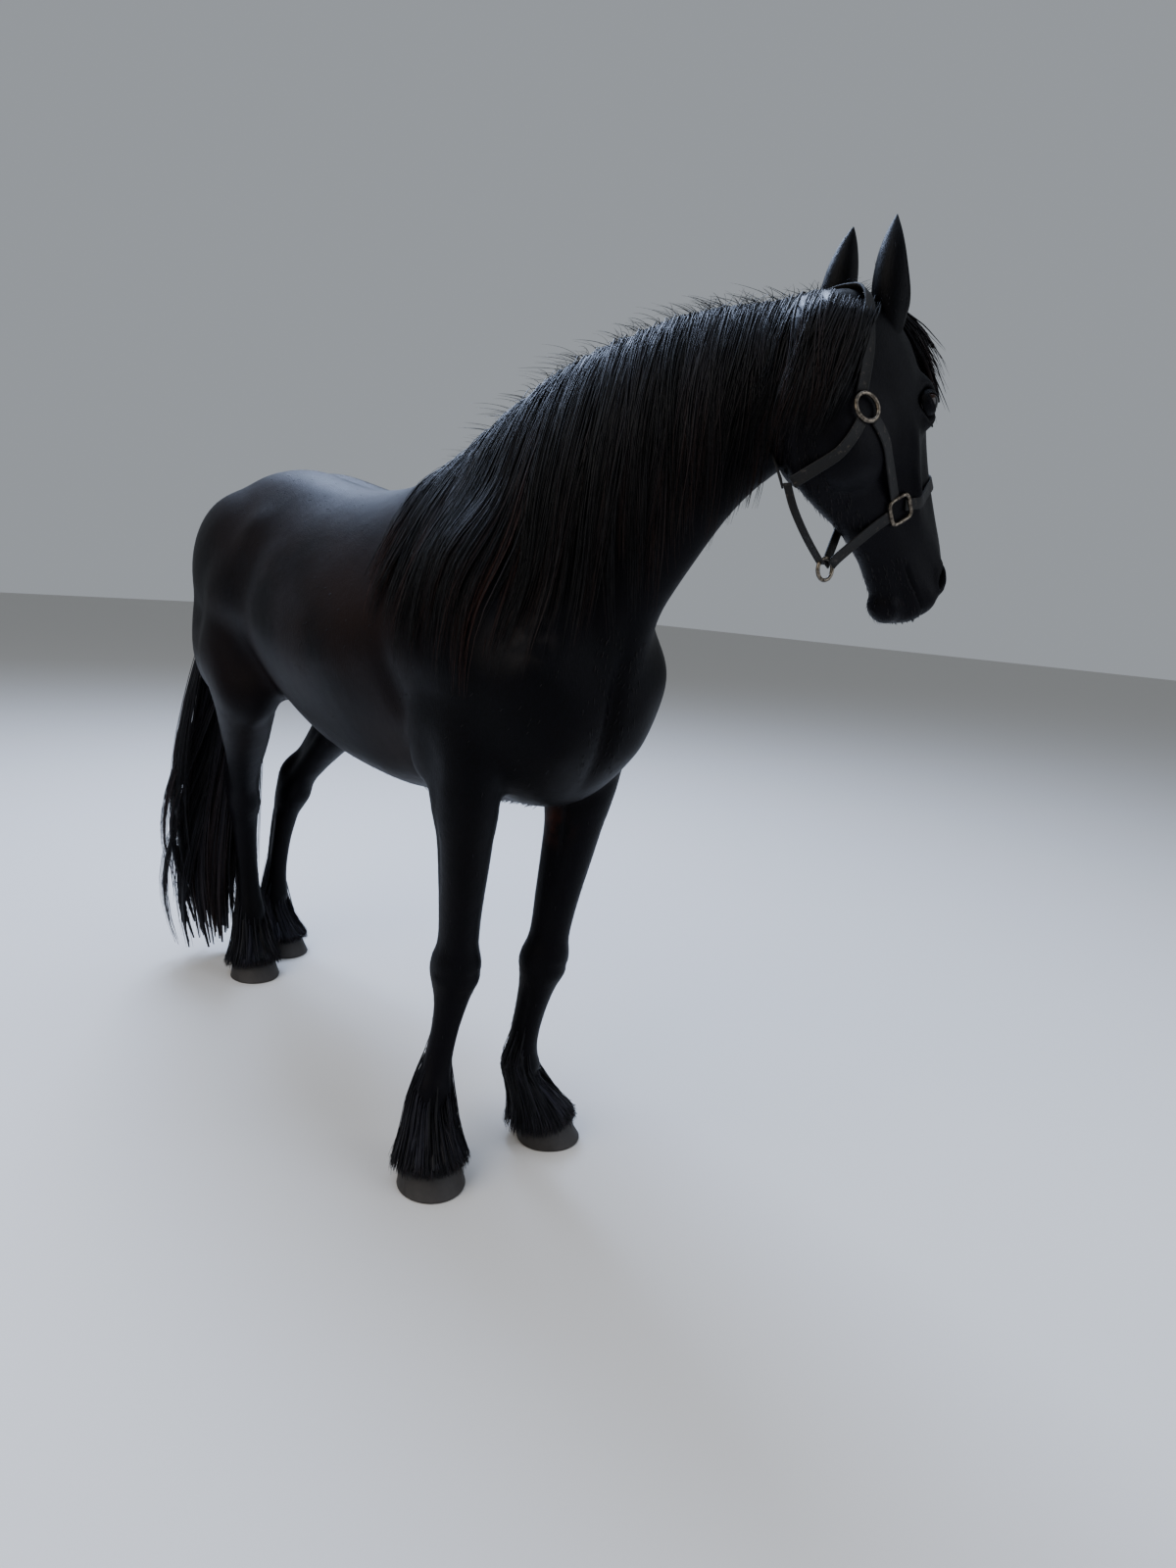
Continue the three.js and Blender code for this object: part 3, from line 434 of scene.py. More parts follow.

# Where the streaks run high, the blue-black sheen colour is mixed into the base colour: a painted
# sheen, not a colour of the hair.

@dataclass
class Leg:
    """One leg, from inside the body down to the coronet, in millimetres."""

    foot: Foot
    sole: Triple
    heading: float
    joints: tuple[Triple, ...]
    hoof_height: float = 64.0
    coronet_back: float = 20.0
    coronet_slope: float = 17.0
    sides: int = 24
    stations: int = 44
    coat: float = 1.5
    path_steps: int = 400

    @property
    def fore(self) -> bool:
        """Whether this is a foreleg."""
        return self.foot.value.endswith("fore")

    @property
    def rows(self) -> Array:
        """Rows of at, front, back and side; at counts the joints from 0 at the top.

        Returns:
            One row for each station.
        """
        if self.fore:
            return np.array([
                (0, 95, 105, 66), (0.5, 96, 108, 66), (1, 80, 94, 70), (1.25, 63, 68, 55),
                (1.55, 53, 53, 49), (1.8, 49, 46, 47), (1.93, 56, 50, 56), (2.05, 56, 54, 57),
                (2.2, 42, 47, 44), (2.45, 33, 42, 34), (2.75, 33, 43, 35), (3, 42, 48, 43),
                (3.35, 36, 40, 39), (3.7, 44, 43, 47), (4, 55, 52, 56),
            ], float)
        return np.array([
            (0, 130, 200, 100), (0.5, 128, 190, 98), (1, 100, 170, 88), (1.3, 76, 122, 74),
            (1.6, 58, 80, 58), (1.8, 50, 70, 46), (1.95, 58, 74, 50), (2.1, 54, 60, 49),
            (2.25, 42, 50, 41), (2.5, 34, 45, 35), (2.75, 34, 45, 36), (3, 42, 49, 44),
            (3.35, 36, 40, 39), (3.7, 44, 43, 47), (4, 55, 52, 55),
        ], float)

    @property
    def forward(self) -> Array:
        """The level direction in which the toe points."""
        angle = math.radians(self.heading)
        return np.array([math.cos(angle), math.sin(angle), 0.0])

    @property
    def across(self) -> Array:
        """The level direction across the foot, to its left."""
        return unit(np.cross(UP, self.forward))

    @property
    def coronet_up(self) -> Array:
        """The slope of the coronet, from heel to toe."""
        slope = math.radians(self.coronet_slope)
        return self.forward * math.cos(slope) + UP * math.sin(slope)

    def coronet(self) -> Array:
        """The centre of the coronet.

        Returns:
            A place in the horse's millimetres.
        """
        centre = np.array(self.sole) - self.forward * self.coronet_back
        centre[2] = self.hoof_height
        return centre

    def path(self, at: Array) -> Array:
        """Places on the leg's middle line; at counts the joints.

        Args:
            at: Stations, from 0 at the top to 4 at the coronet.

        Returns:
            One place for each station.
        """
        knots = np.array([*self.joints, self.coronet()])
        fine = spline_rows(knots, self.path_steps)
        place = np.asarray(at, float) / 4 * self.path_steps
        low = np.clip(place.astype(int), 0, self.path_steps - 1)
        share = (place - low)[..., None]
        return fine[low] * (1 - share) + fine[low + 1] * share

    def station(self, at: float) -> tuple[Array, Array, Array]:
        """The centre, forward axis and side axis of the leg at one station.

        Args:
            at: The station, from 0 at the top to 4 at the coronet.

        Returns:
            The place and two unit directions.
        """
        centre = self.path(np.array(at))
        below, over = min(at + 0.02, 4.0), max(at - 0.02, 0.0)
        run = unit(self.path(np.array(below)) - self.path(np.array(over)))
        upper = min(max((2 - at) / 2, 0), 1)
        ahead = self.forward * (1 - upper) + AHEAD * upper
        front = unit(ahead - run * (ahead @ run))
        if at > 3.9:
            front = self.coronet_up
        side = unit(np.cross(front, run))
        if side @ self.across < 0:
            side = -side
        return centre, front, side

    def sizes(self, at: Array) -> Array:
        """Front, back and side reach at any station."""
        rows = self.rows
        return np.stack([np.interp(at, rows[:, 0], rows[:, k]) for k in (1, 2, 3)], axis=-1)

    def build(self) -> Piece:
        """Lofts the leg.

        Returns:
            The closed loft.
        """
        rows = spline_rows(self.rows, self.stations)
        rings = []
        for at, front, back, half in rows:
            centre, ahead, side = self.station(at)
            rings.append(Section(centre, ahead, side, front - self.coat, back - self.coat,
                                 half - self.coat, square=0.96).ring(self.sides))
        return loft(f"{self.foot.value}_shape", rings)


LEGS = (
    Leg(Foot.RIGHT_FORE, (60, -208, 0), -20,
        ((70, -200, 1060), (75, -178, 870), (-5, -125, 465), (-8, -170, 188))),
    Leg(Foot.LEFT_FORE, (55, 125, 0), 36,
        ((70, 180, 1060), (76, 138, 870), (45, 88, 458), (12, 72, 188))),
    Leg(Foot.RIGHT_HIND, (-1238, -57, 0), -5,
        ((-1120, -180, 1150), (-1010, -188, 960), (-1328, -62, 568), (-1312, -40, 190))),
    Leg(Foot.LEFT_HIND, (-1385, 112, 0), 12,
        ((-1130, 180, 1150), (-1030, 192, 960), (-1385, 135, 572), (-1452, 105, 190))),
)


@dataclass(frozen=True)
class Swell:
    """A soft rise, or with a negative height a hollow, in millimetres."""

    centre: Triple
    radii: Triple
    height: float
    slope: float = 0.0

    def over(self, places: Array) -> Array:
        """How far the skin moves out at each place; slope turns it about the side axis.

        Args:
            places: Places in the horse's millimetres.

        Returns:
            One height for each place.
        """
        turn = math.radians(self.slope)
        gap = places - np.array(self.centre)
        first = gap[:, 0] * math.cos(turn) - gap[:, 2] * math.sin(turn)
        third = gap[:, 0] * math.sin(turn) + gap[:, 2] * math.cos(turn)
        spread = ((first / self.radii[0]) ** 2 + (gap[:, 1] / self.radii[1]) ** 2
                  + (third / self.radii[2]) ** 2)
        return self.height * np.exp(-0.5 * spread)


@dataclass(frozen=True)
class Mass:
    """One muscle as an ellipsoid on each flank, in millimetres and degrees in the side view."""

    centre: Triple
    radii: Triple
    slope: float

    @property
    def turn(self) -> Array:
        """Rows of the three directions that the radii follow."""
        cosine, sine = math.cos(math.radians(self.slope)), math.sin(math.radians(self.slope))
        return np.array([[cosine, 0, -sine], [0, 1, 0], [sine, 0, cosine]])


@dataclass
class Trunk:
    """The trunk from buttocks to breast, its muscle masses and its relief, in millimetres."""

    stations: int = 56
    sides: int = 40
    coat: float = 2.5
    widest_share: float = 0.48
    rib_spacing: float = 62.0
    rib_height: float = 0.25
    # X, top, bottom, half width, roof and floor.
    rows: Rows = (
        (-1402, 1310, 1160, 50, 1, 1),
        (-1365, 1420, 1100, 150, 0.85, 1),
        (-1280, 1500, 1030, 235, 0.8, 0.9),
        (-1100, 1583, 938, 290, 0.8, 0.8),
        (-900, 1590, 925, 300, 0.75, 0.7),
        (-600, 1532, 840, 315, 0.8, 0.75),
        (-350, 1538, 812, 315, 0.7, 0.75),
        (-220, 1592, 818, 298, 0.5, 0.75),
        (-100, 1610, 828, 280, 0.45, 0.75),
        (50, 1560, 848, 268, 0.5, 0.75),
        (180, 1450, 868, 245, 0.6, 0.8),
        (270, 1320, 965, 185, 0.8, 0.9),
        (312, 1215, 1060, 80, 1, 1),
    )
    masses: tuple[Mass, ...] = (
        Mass((70, 168, 1210), (135, 95, 255), -24),
        Mass((25, 170, 1010), (150, 92, 135), 0),
        Mass((240, 80, 1080), (62, 80, 120), 0),
        Mass((-1090, 150, 1290), (270, 135, 230), 12),
        Mass((-1220, 150, 1130), (156, 111, 238), 10),
        Mass((-990, 190, 1000), (115, 75, 140), -12),
    )
    relief: tuple[Swell, ...] = (
        Swell((250, 165, 1160), (38, 60, 48), 12),
        Swell((40, 240, 1120), (95, 70, 85), 12),
        Swell((-92, 260, 1040), (26, 70, 120), -15, -18),
        Swell((168, 200, 1330), (24, 90, 150), -9, -24),
        Swell((60, 200, 1420), (30, 90, 120), 8, -24),
        Swell((-20, 215, 1400), (22, 90, 130), -7, -24),
        Swell((-70, 180, 1500), (60, 60, 50), 7),
        Swell((320, 0, 1080), (60, 13, 110), -16),
        Swell((285, 75, 1040), (50, 45, 75), 9),
        Swell((-40, 205, 930), (38, 50, 42), 12),
        Swell((60, 215, 930), (26, 60, 70), -6),
        Swell((-820, 310, 1290), (60, 90, 105), -20, 12),
        Swell((-860, 265, 1435), (42, 50, 38), 15),
        Swell((-640, 115, 1545), (190, 42, 40), 7),
        Swell((-700, 0, 1560), (260, 16, 50), -6),
        Swell((-1130, 0, 1590), (190, 17, 70), -15),
        Swell((-1150, 120, 1540), (150, 60, 60), 8),
        Swell((-1290, 215, 1180), (24, 80, 190), -7, 8),
        Swell((-1130, 270, 1130), (30, 90, 170), -4, 22),
        Swell((-1010, 280, 1180), (70, 80, 120), 8, 10),
        Swell((-950, 240, 960), (45, 60, 48), 10),
        Swell((-900, 250, 1040), (40, 80, 60), -10),
        Swell((-1372, 90, 1250), (50, 40, 60), 8),
        Swell((-450, 330, 1000), (260, 120, 110), 5),
        Swell((-500, 0, 812), (330, 20, 30), -4),
    )

    def build(self) -> list[Piece]:
        """Lofts the trunk and adds its muscle masses.

        Returns:
            The loft and one ellipsoid for each mass and flank.
        """
        rings = []
        for x, top, bottom, half, roof, floor in spline_rows(self.rows, self.stations):
            widest = bottom + self.widest_share * (top - bottom)
            section = Section(np.array([x, 0, widest]), UP, LEFT, top - widest - self.coat,
                              widest - bottom - self.coat, half - self.coat, roof, floor)
            rings.append(section.ring(self.sides))
        pieces = [loft("trunk_shape", rings)]
        for mass in self.masses:
            for flank in (1, -1):
                place = np.array(mass.centre) * np.array([1, flank, 1])
                radii = np.array(mass.radii) - self.coat
                pieces.append(ball("muscle_shape", place, radii, mass.turn))
        return pieces

    def lift(self, places: Array) -> Array:
        """How far the relief moves the skin at each place of the trunk.

        Args:
            places: Places in the horse's millimetres.

        Returns:
            One height for each place.
        """
        mirrored = places.copy()
        mirrored[:, 1] = np.abs(mirrored[:, 1])
        total = sum(swell.over(mirrored) for swell in self.relief)
        slanted = places[:, 0] + 0.16 * (places[:, 2] - 1200)
        ribs = self.rib_height * np.sin(2 * np.pi * slanted / self.rib_spacing)
        off_barrel = ((places[:, 0] + 500) / 190) ** 2 + ((places[:, 2] - 1150) / 130) ** 2
        total += ribs * np.exp(-0.5 * off_barrel) * (np.abs(places[:, 1]) > 150)
        ahead = np.clip((380 - places[:, 0]) / 60, 0, 1)
        return total * ahead * np.clip((places[:, 2] - 780) / 80, 0, 1)


@dataclass
class Neck:
    """The neck from withers to poll, in millimetres."""

    stations: int = 40
    sides: int = 36
    coat: float = 2.5
    # The crest's place, the throat's place and the half width.
    rows: Rows = (
        (-231, 0, 1580, 290, 0, 1020, 190),
        (-90, 0, 1668, 328, 22, 1150, 165),
        (37, 2, 1728, 345, 50, 1255, 135),
        (139, 14, 1770, 382, 85, 1340, 112),
        (244, 42, 1806, 424, 118, 1425, 98),
        (334, 79, 1834, 460, 150, 1492, 92),
        (414, 122, 1850, 496, 185, 1542, 90),
        (488, 169, 1858, 534, 222, 1592, 88),
        (560, 215, 1872, 575, 262, 1640, 78),
        (600, 250, 1855, 605, 285, 1720, 50),
    )

    def build(self) -> Piece:
        """Lofts the neck.

        Returns:
            The closed loft.
        """
        rows = spline_rows(self.rows, self.stations)
        crest = rows[:, :3]
        throat = rows[:, 3:6]
        middle = (crest + throat) / 2
        run = np.gradient(middle, axis=0)
        rings = []
        for i, row in enumerate(rows):
            up = unit(crest[i] - throat[i])
            side = unit(np.cross(up, run[i]))
            reach = np.linalg.norm(crest[i] - throat[i]) / 2 - self.coat
            section = Section(middle[i], up, side, reach, reach, row[6] - self.coat, 0.55, 0.85,
                              0.95)
            rings.append(section.ring(self.sides))
        return loft("neck_shape", rings)


@dataclass
class Head:
    """The head along its own axis, and its relief, in millimetres of the head's frame."""

    stations: int = 72
    sides: int = 44
    coat: float = 1.0
    # Along, brow, jaw, half width, height of the widest place, roof and floor.
    rows: Rows = (
        (-34, -84, -142, 38, 0.5, 0.9, 0.9),
        (-4, -40, -182, 66, 0.45, 0.8, 0.8),
        (40, 2, -222, 86, 0.4, 0.75, 0.7),
        (96, 30, -272, 98, 0.36, 0.72, 0.6),
        (154, 39, -300, 102, 0.34, 0.72, 0.55),
        (212, 39, -300, 99, 0.34, 0.7, 0.52),
        (278, 34, -270, 85, 0.38, 0.68, 0.52),
        (352, 29, -224, 69, 0.45, 0.7, 0.6),
        (430, 23, -192, 61, 0.5, 0.75, 0.7),
        (496, 13, -182, 61, 0.48, 0.8, 0.75),
        (544, -5, -180, 60, 0.48, 0.85, 0.7),
        (576, -30, -166, 52, 0.5, 0.85, 0.8),
        (594, -62, -138, 30, 0.5, 0.9, 0.9),
    )
    mouth_corner: tuple[float, float] = (470.0, -132.0)
    mouth_front: tuple[float, float] = (604.0, -108.0)
    nostril: Triple = (534.0, -66.0, 62.0)
    masses: tuple[tuple[float, float, float, Triple], ...] = (
        (186, -172, 42, (50, 108, 100)),
        (530, -62, 36, (29, 34, 42)),
        (190, -14, 70, (22, 16, 46)),
        (290, -80, 66, (15, 9, 76)),
        (202, -31, 75, (31, 31, 50)),
    )
    # Along, brow, right, the three radii, the height and the slope in the side view.
    relief: Rows = (
        (168, -2, 78, 30, 12, 26, 6, 14),
        (146, 2, 74, 24, 14, 20, -9, 10),
        (268, -76, 88, 40, 8, 30, 5, 5),
        (330, -84, 74, 44, 7, 30, 4, 2),
        (335, -32, 66, 75, 22, 26, -8, 6),
        (300, -132, 74, 36, 26, 34, -9, 0),
        (400, -110, 66, 40, 22, 30, -4, 8),
        (118, -150, 100, 24, 60, 30, -5, -10),
        (205, -215, 88, 70, 45, 36, 5, 0),
        (270, -225, 72, 20, 40, 34, -6, 20),
        (560, -66, 58, 16, 30, 22, 5, 0),
        (505, -48, 60, 22, 16, 20, 5, 0),
        (480, -84, 62, 26, 16, 20, -4, 0),
        (560, -98, 50, 34, 12, 26, 4, 6),
        (548, -132, 48, 36, 10, 26, 4, 6),
        (528, -150, 46, 40, 8, 26, -4, 4),
        (588, -92, 0, 22, 20, 12, -3, 0),
        (40, 6, 40, 40, 30, 26, -6, 0),
    )

    def build(self) -> list[Piece]:
        """Lofts the head and adds the cheeks, the crests, the nostrils' wings and the chin.

        Returns:
            The loft and its added forms.
        """
        rings = []
        for along, brow, jaw, half, level, roof, floor in spline_rows(self.rows, self.stations):
            top = level * (brow - jaw)
            section = Section(HEAD_FRAME.at(along, brow - top, 0), *HEAD_FRAME.axes[1:],
                              top - self.coat,
                              brow - jaw - top - self.coat, half - self.coat, roof, floor, 0.85)
            rings.append(section.ring(self.sides))
        pieces = [loft("head_shape", rings)]
        turn = HEAD_FRAME.axes[[2, 1, 0]]
        for side in Side:
            for along, brow, right, radii in self.masses:
                centre = HEAD_FRAME.at(along, brow, right * side.value)
                pieces.append(ball("head_mass", centre, radii, turn))
        pieces.append(ball("chin_mass", HEAD_FRAME.at(540, -164, 0), (36, 28, 36), turn))
        return pieces

    def lift(self, spots: Array) -> Array:
        """How far the relief moves the skin at each spot of the head's frame.

        Args:
            spots: Spots in the head's frame.

        Returns:
            One height for each spot.
        """
        right = np.abs(spots[:, 2])
        total = np.zeros(len(spots))
        for along, brow, across, ra, rb, rr, height, slope in self.relief:
            turn = math.radians(slope)
            gap_a = spots[:, 0] - along
            gap_b = spots[:, 1] - brow
            first = gap_a * math.cos(turn) + gap_b * math.sin(turn)
            second = -gap_a * math.sin(turn) + gap_b * math.cos(turn)
            spread = (first / ra) ** 2 + (second / rb) ** 2 + ((right - across) / rr) ** 2
            total += height * np.exp(-0.5 * spread)
        return total

    def hollows(self, spots: Array) -> Array:
        """How far the nostrils, the mouth line and the eye sockets sink, straight inward.

        Args:
            spots: Spots in the head's frame.

        Returns:
            One depth for each spot.
        """
        right = np.abs(spots[:, 2])
        along, brow, _ = self.nostril
        gap_a = spots[:, 0] - along
        gap_b = spots[:, 1] - brow
        bend = gap_b - 7 - 0.028 * gap_a * gap_a + 0.55 * gap_a
        opening = np.exp(-((gap_a / 17) ** 4) - ((bend / 8.5) ** 4))
        depth = 20 * opening * (right > 30)
        start = np.array(self.mouth_corner)
        end = np.array(self.mouth_front)
        run = unit(end - start)
        gap = spots[:, :2] - start
        forward = gap @ run
        off = gap @ np.array([-run[1], run[0]]) + 3 * np.sin(np.clip(forward / 130, 0, 1) * np.pi)
        line = np.exp(-((off / 3.2) ** 2)) * np.clip((forward + 8) / 14, 0, 1)
        depth = depth + 6.5 * line * (spots[:, 0] > 440)
        slant = math.radians(EYE_SIZES.slant)
        gap_a, gap_b = spots[:, 0] - EYE_SIZES.along - 1, spots[:, 1] - EYE_SIZES.brow
        long_way = gap_a * math.cos(slant) + gap_b * math.sin(slant)
        short_way = gap_b * math.cos(slant) - gap_a * math.sin(slant)
        eye = (long_way / 27) ** 4 + (short_way / 19) ** 4
        return depth + 24 * np.exp(-eye) * (right > 55)


@dataclass
class Ears:
    """The two ears, leaf-shaped cups that open forward and outward, in millimetres."""

    length: float = 156.0
    wall: float = 3.6
    stations: int = 26
    # The share of the length, the half width and how far round the wall runs, in degrees.
    rows: Rows = (
        (-0.44, 14, 176), (-0.2, 22, 174), (0, 27.5, 168), (0.12, 31, 150), (0.28, 33, 132),
        (0.45, 31, 122), (0.62, 26.5, 116), (0.78, 19, 112), (0.9, 11, 108), (1.0, 2.2, 104),
    )

    def axes(self, side: Side) -> tuple[Array, Array, Array, Array]:
        """The base, run, opening direction and breadth direction of one ear.

        Args:
            side: The ear's side of the head.

        Returns:
            A place and three unit directions.
        """
        along, brow, right = HEAD_FRAME.axes
        sign = side.value
        base = HEAD_FRAME.at(34, -50, 64 if side is Side.RIGHT else -56)
        run = unit(-0.88 * along + 0.46 * brow + (0.02 if side is Side.RIGHT else 0.12) * right)
        open_way = HEAD_FRAME.forward + 0.75 * sign * right
        ahead = unit(open_way - run * (open_way @ run))
        return base, run, ahead, np.cross(run, ahead)

    def centre(self, side: Side, at: float) -> Array:
        """The middle of the ear at a share of its length.

        Args:
            side: The ear's side of the head.
            at: The share, from 0 at the base to 1 at the tip.

        Returns:
            A place in the horse's millimetres.
        """
        base, run, ahead, _ = self.axes(side)
        tip = max(0.0, at) ** 2
        lean = HEAD_FRAME.axes[2] * 14 * side.value * tip
        return base + run * self.length * at - lean + ahead * 12 * tip

    def build(self, side: Side) -> Piece:
        """Lofts one ear as a bent wall, closed at its stem and open above it.

        Args:
            side: The ear's side of the head.

        Returns:
            The closed wall of the cup.
        """
        _, _, ahead, across = self.axes(side)
        rings = []
        for at, size, spread in spline_rows(self.rows, self.stations):
            angle = np.radians(np.linspace(-spread, spread, 19))
            reach = max(size - 1, 1.2)
            inner = max(reach - self.wall * min(1, 1.6 - at), 0.35)
            lip = 1 + 0.16 * (np.abs(angle) / np.radians(spread)) ** 3
            back = np.outer(-np.cos(angle) * lip, ahead) + np.outer(np.sin(angle), across)
            outer_line = self.centre(side, at) + back * reach
            inner_line = self.centre(side, at) + back * inner
            rings.append(np.concatenate([outer_line, inner_line[::-1]]))
        return loft(f"ear_shape_{side.name.lower()}", rings)


@dataclass
class Skin:
    """The one skin over trunk, neck, head, ears and legs."""

    trunk: Trunk = field(default_factory=Trunk)
    neck: Neck = field(default_factory=Neck)
    head: Head = field(default_factory=Head)
    ears: Ears = field(default_factory=Ears)
    coarse: float = 0.011
    fine: float = 0.0055
    most_triangles: int = 185000
    smoothing: float = 0.6
    haunch_centre: Triple = (-1230, 0, 930)
    haunch_reach: Triple = (210, 420, 190)
    # The fold between head and neck, as along and brow at its top and bottom.
    throat_line: tuple[tuple[float, float], ...] = ((-40.0, -70.0), (175.0, -315.0))
    surface: "Surface | None" = None

    def build(self) -> Piece:
        """Joins all forms under one smooth skin and raises its relief.

        Returns:
            The skin, whose head and body are also kept as the surface for hair and straps.
        """
        legs = (leg.build() for leg in LEGS)
        body = joined("skin", [*self.trunk.build(), self.neck.build(), *legs])
        apply_modifier(body, "REMESH", mode="VOXEL", voxel_size=self.coarse)
        places = to_horse(mesh_places(body))
        lowest = np.where(places[:, 0] > -200, 880, 780)
        self.soften(body, "round", np.clip((places[:, 2] - lowest) / 200, 0, 1), 60)
        haunch = (places - np.array(self.haunch_centre)) / np.array(self.haunch_reach)
        self.soften(body, "haunch", np.clip(1.5 - np.linalg.norm(haunch, axis=1), 0, 1), 110)
        body.vertex_groups.clear()
        skin = joined("skin", [body, *self.head.build()])
        apply_modifier(skin, "REMESH", mode="VOXEL", voxel_size=self.fine)
        self.blend_throat(skin)
        self.refine_head(skin)
        self.raise_relief(skin)
        self.thin(skin)
        self.surface = Surface(skin)
        skin = joined("skin", [skin, *(self.ears.build(side) for side in Side)])
        shade_smooth(skin)
        return skin

    def soften(self, piece: Piece, name: str, weights: Array, rounds: int) -> None:
        """Smooths a piece where its weights are high.

        Args:
            piece: The object to smooth.
            name: A name for its group of weights.
            weights: One number from 0 to 1 for each vertex.
            rounds: How many times it is smoothed.
        """
        set_group(piece, name, weights)
        apply_modifier(piece, "SMOOTH", factor=self.smoothing, iterations=rounds, vertex_group=name)

    def blend_throat(self, skin: Piece) -> None:
        """Smooths the fold where the head meets the neck, and the whole skin a little.

        Args:
            skin: The skin, changed in place.
        """
        spots = HEAD_FRAME.within(to_horse(mesh_places(skin)))
        start, end = (np.array(spot) for spot in self.throat_line)
        run = end - start
        share = np.clip(((spots[:, :2] - start) @ run) / (run @ run), 0, 1)
        off = np.linalg.norm(spots[:, :2] - start - share[:, None] * run, axis=1)
        near = np.exp(-(off / 34) ** 2) * (np.abs(spots[:, 2]) < 160) * (spots[:, 1] < -20)
        self.soften(skin, "throat", near, 26)
        right = np.abs(spots[:, 2])
        cheek = (np.exp(-(((spots[:, 0] - 180) / 120) ** 4))
                 * np.clip((-60 - spots[:, 1]) / 40, 0, 1)
                 * (right > 35) * (right < 130) * (spots[:, 1] > -300))
        self.soften(skin, "cheek", cheek, 30)
        eye = np.exp(-(((spots[:, 0] - 195) / 85) ** 4) - (((spots[:, 1] + 25) / 65) ** 4))
        self.soften(skin, "eye", eye * (right > 35) * (right < 120), 14)
        apply_modifier(skin, "SMOOTH", factor=0.5, iterations=5)
        skin.vertex_groups.clear()

    def near_head(self, spots: Array, start: float) -> Array:
        """Which spots lie on the head, past a start along it and clear of the neck."""
        return (spots[:, 0] > start) & (np.abs(spots[:, 2]) < 125) & (spots[:, 1] > -330)

    def refine_head(self, skin: Piece) -> None:
        """Divides the faces of the head once more, for its finer forms.

        Args:
            skin: The skin, changed in place.
        """
        spots = HEAD_FRAME.within(to_horse(mesh_places(skin)))
        chosen = self.near_head(spots, 120) & (spots[:, 1] < 70)
        select_only(skin)
        skin.data.vertices.foreach_set("select", chosen)
        corners = np.empty(len(skin.data.loops), np.int32)
        skin.data.loops.foreach_get("vertex_index", corners)
        faces = chosen[corners].reshape(-1, 4).all(axis=1)
        skin.data.polygons.foreach_set("select", faces)
        edges = np.empty(len(skin.data.edges) * 2, np.int32)
        skin.data.edges.foreach_get("vertices", edges)
        skin.data.edges.foreach_set("select", chosen[edges].reshape(-1, 2).all(axis=1))
        bpy.ops.object.mode_set(mode="EDIT")
        bpy.ops.mesh.subdivide(number_cuts=1, smoothness=0)
        bpy.ops.object.mode_set(mode="OBJECT")

    def raise_relief(self, skin: Piece) -> None:
        """Moves the skin by the relief of trunk, legs and head.

        Args:
            skin: The skin, changed in place.
        """
        places = to_horse(mesh_places(skin))
        spots = HEAD_FRAME.within(places)
        normals = mesh_normals(skin)
        height = self.trunk.lift(places)
        for leg in LEGS:
            height += leg_relief(leg, places)
        face = np.clip((spots[:, 0] + 20) / 60, 0, 1)
        face = face * (np.abs(spots[:, 2]) < 130) * (spots[:, 1] > -340)
        height += self.head.lift(spots) * face
        places = places + normals * height[:, None]
        sink = self.head.hollows(spots) * face
        inward = -np.sign(spots[:, 2])[:, None] * HEAD_FRAME.axes[2]
        front = np.clip((spots[:, 0] - 570) / 25, 0, 1)[:, None]
        inward = unit(inward * (1 - front) - HEAD_FRAME.axes[0] * front)
        set_places(skin, to_scene(places + inward * sink[:, None]))

    def thin(self, skin: Piece) -> None:
        """Thins the faces where the form is plain and keeps them on the head.

        Args:
            skin: The skin, changed in place.
        """
        places = to_horse(mesh_places(skin))
        spots = HEAD_FRAME.within(places)
        set_group(skin, "plain", np.where(self.near_head(spots, 110), 0.0, 1.0))
        triangles = sum(len(face.vertices) - 2 for face in skin.data.polygons)
        apply_modifier(skin, "DECIMATE", ratio=min(1.0, self.most_triangles / triangles),
                       vertex_group="plain", vertex_group_factor=1.0)
        skin.vertex_groups.clear()


# Rises of the legs: station, length in stations, distance forward, its radius and height.
BOTH_RISES = ((3.0, 0.07, -36, 24, 6), (3.0, 0.06, 30, 24, 3))
FORE_RISES = (
    (1.93, 0.05, 40, 26, 3), (2.04, 0.04, 40, 26, 2), (1.99, 0.02, 46, 26, -2),
    (1.97, 0.06, -46, 22, 7), (1.3, 0.16, 40, 30, 6), (1.3, 0.2, -8, 9, -4),
    (1.5, 0.25, -40, 24, 4), *BOTH_RISES,
)
HIND_RISES = (
    (1.86, 0.07, -66, 22, 12), (1.98, 0.06, 44, 26, 5), (1.74, 0.12, -34, 14, -10),
    (1.4, 0.16, 30, 40, 7), (1.5, 0.2, -14, 10, -5), (2.16, 0.05, 0, 60, -3), *BOTH_RISES,
)


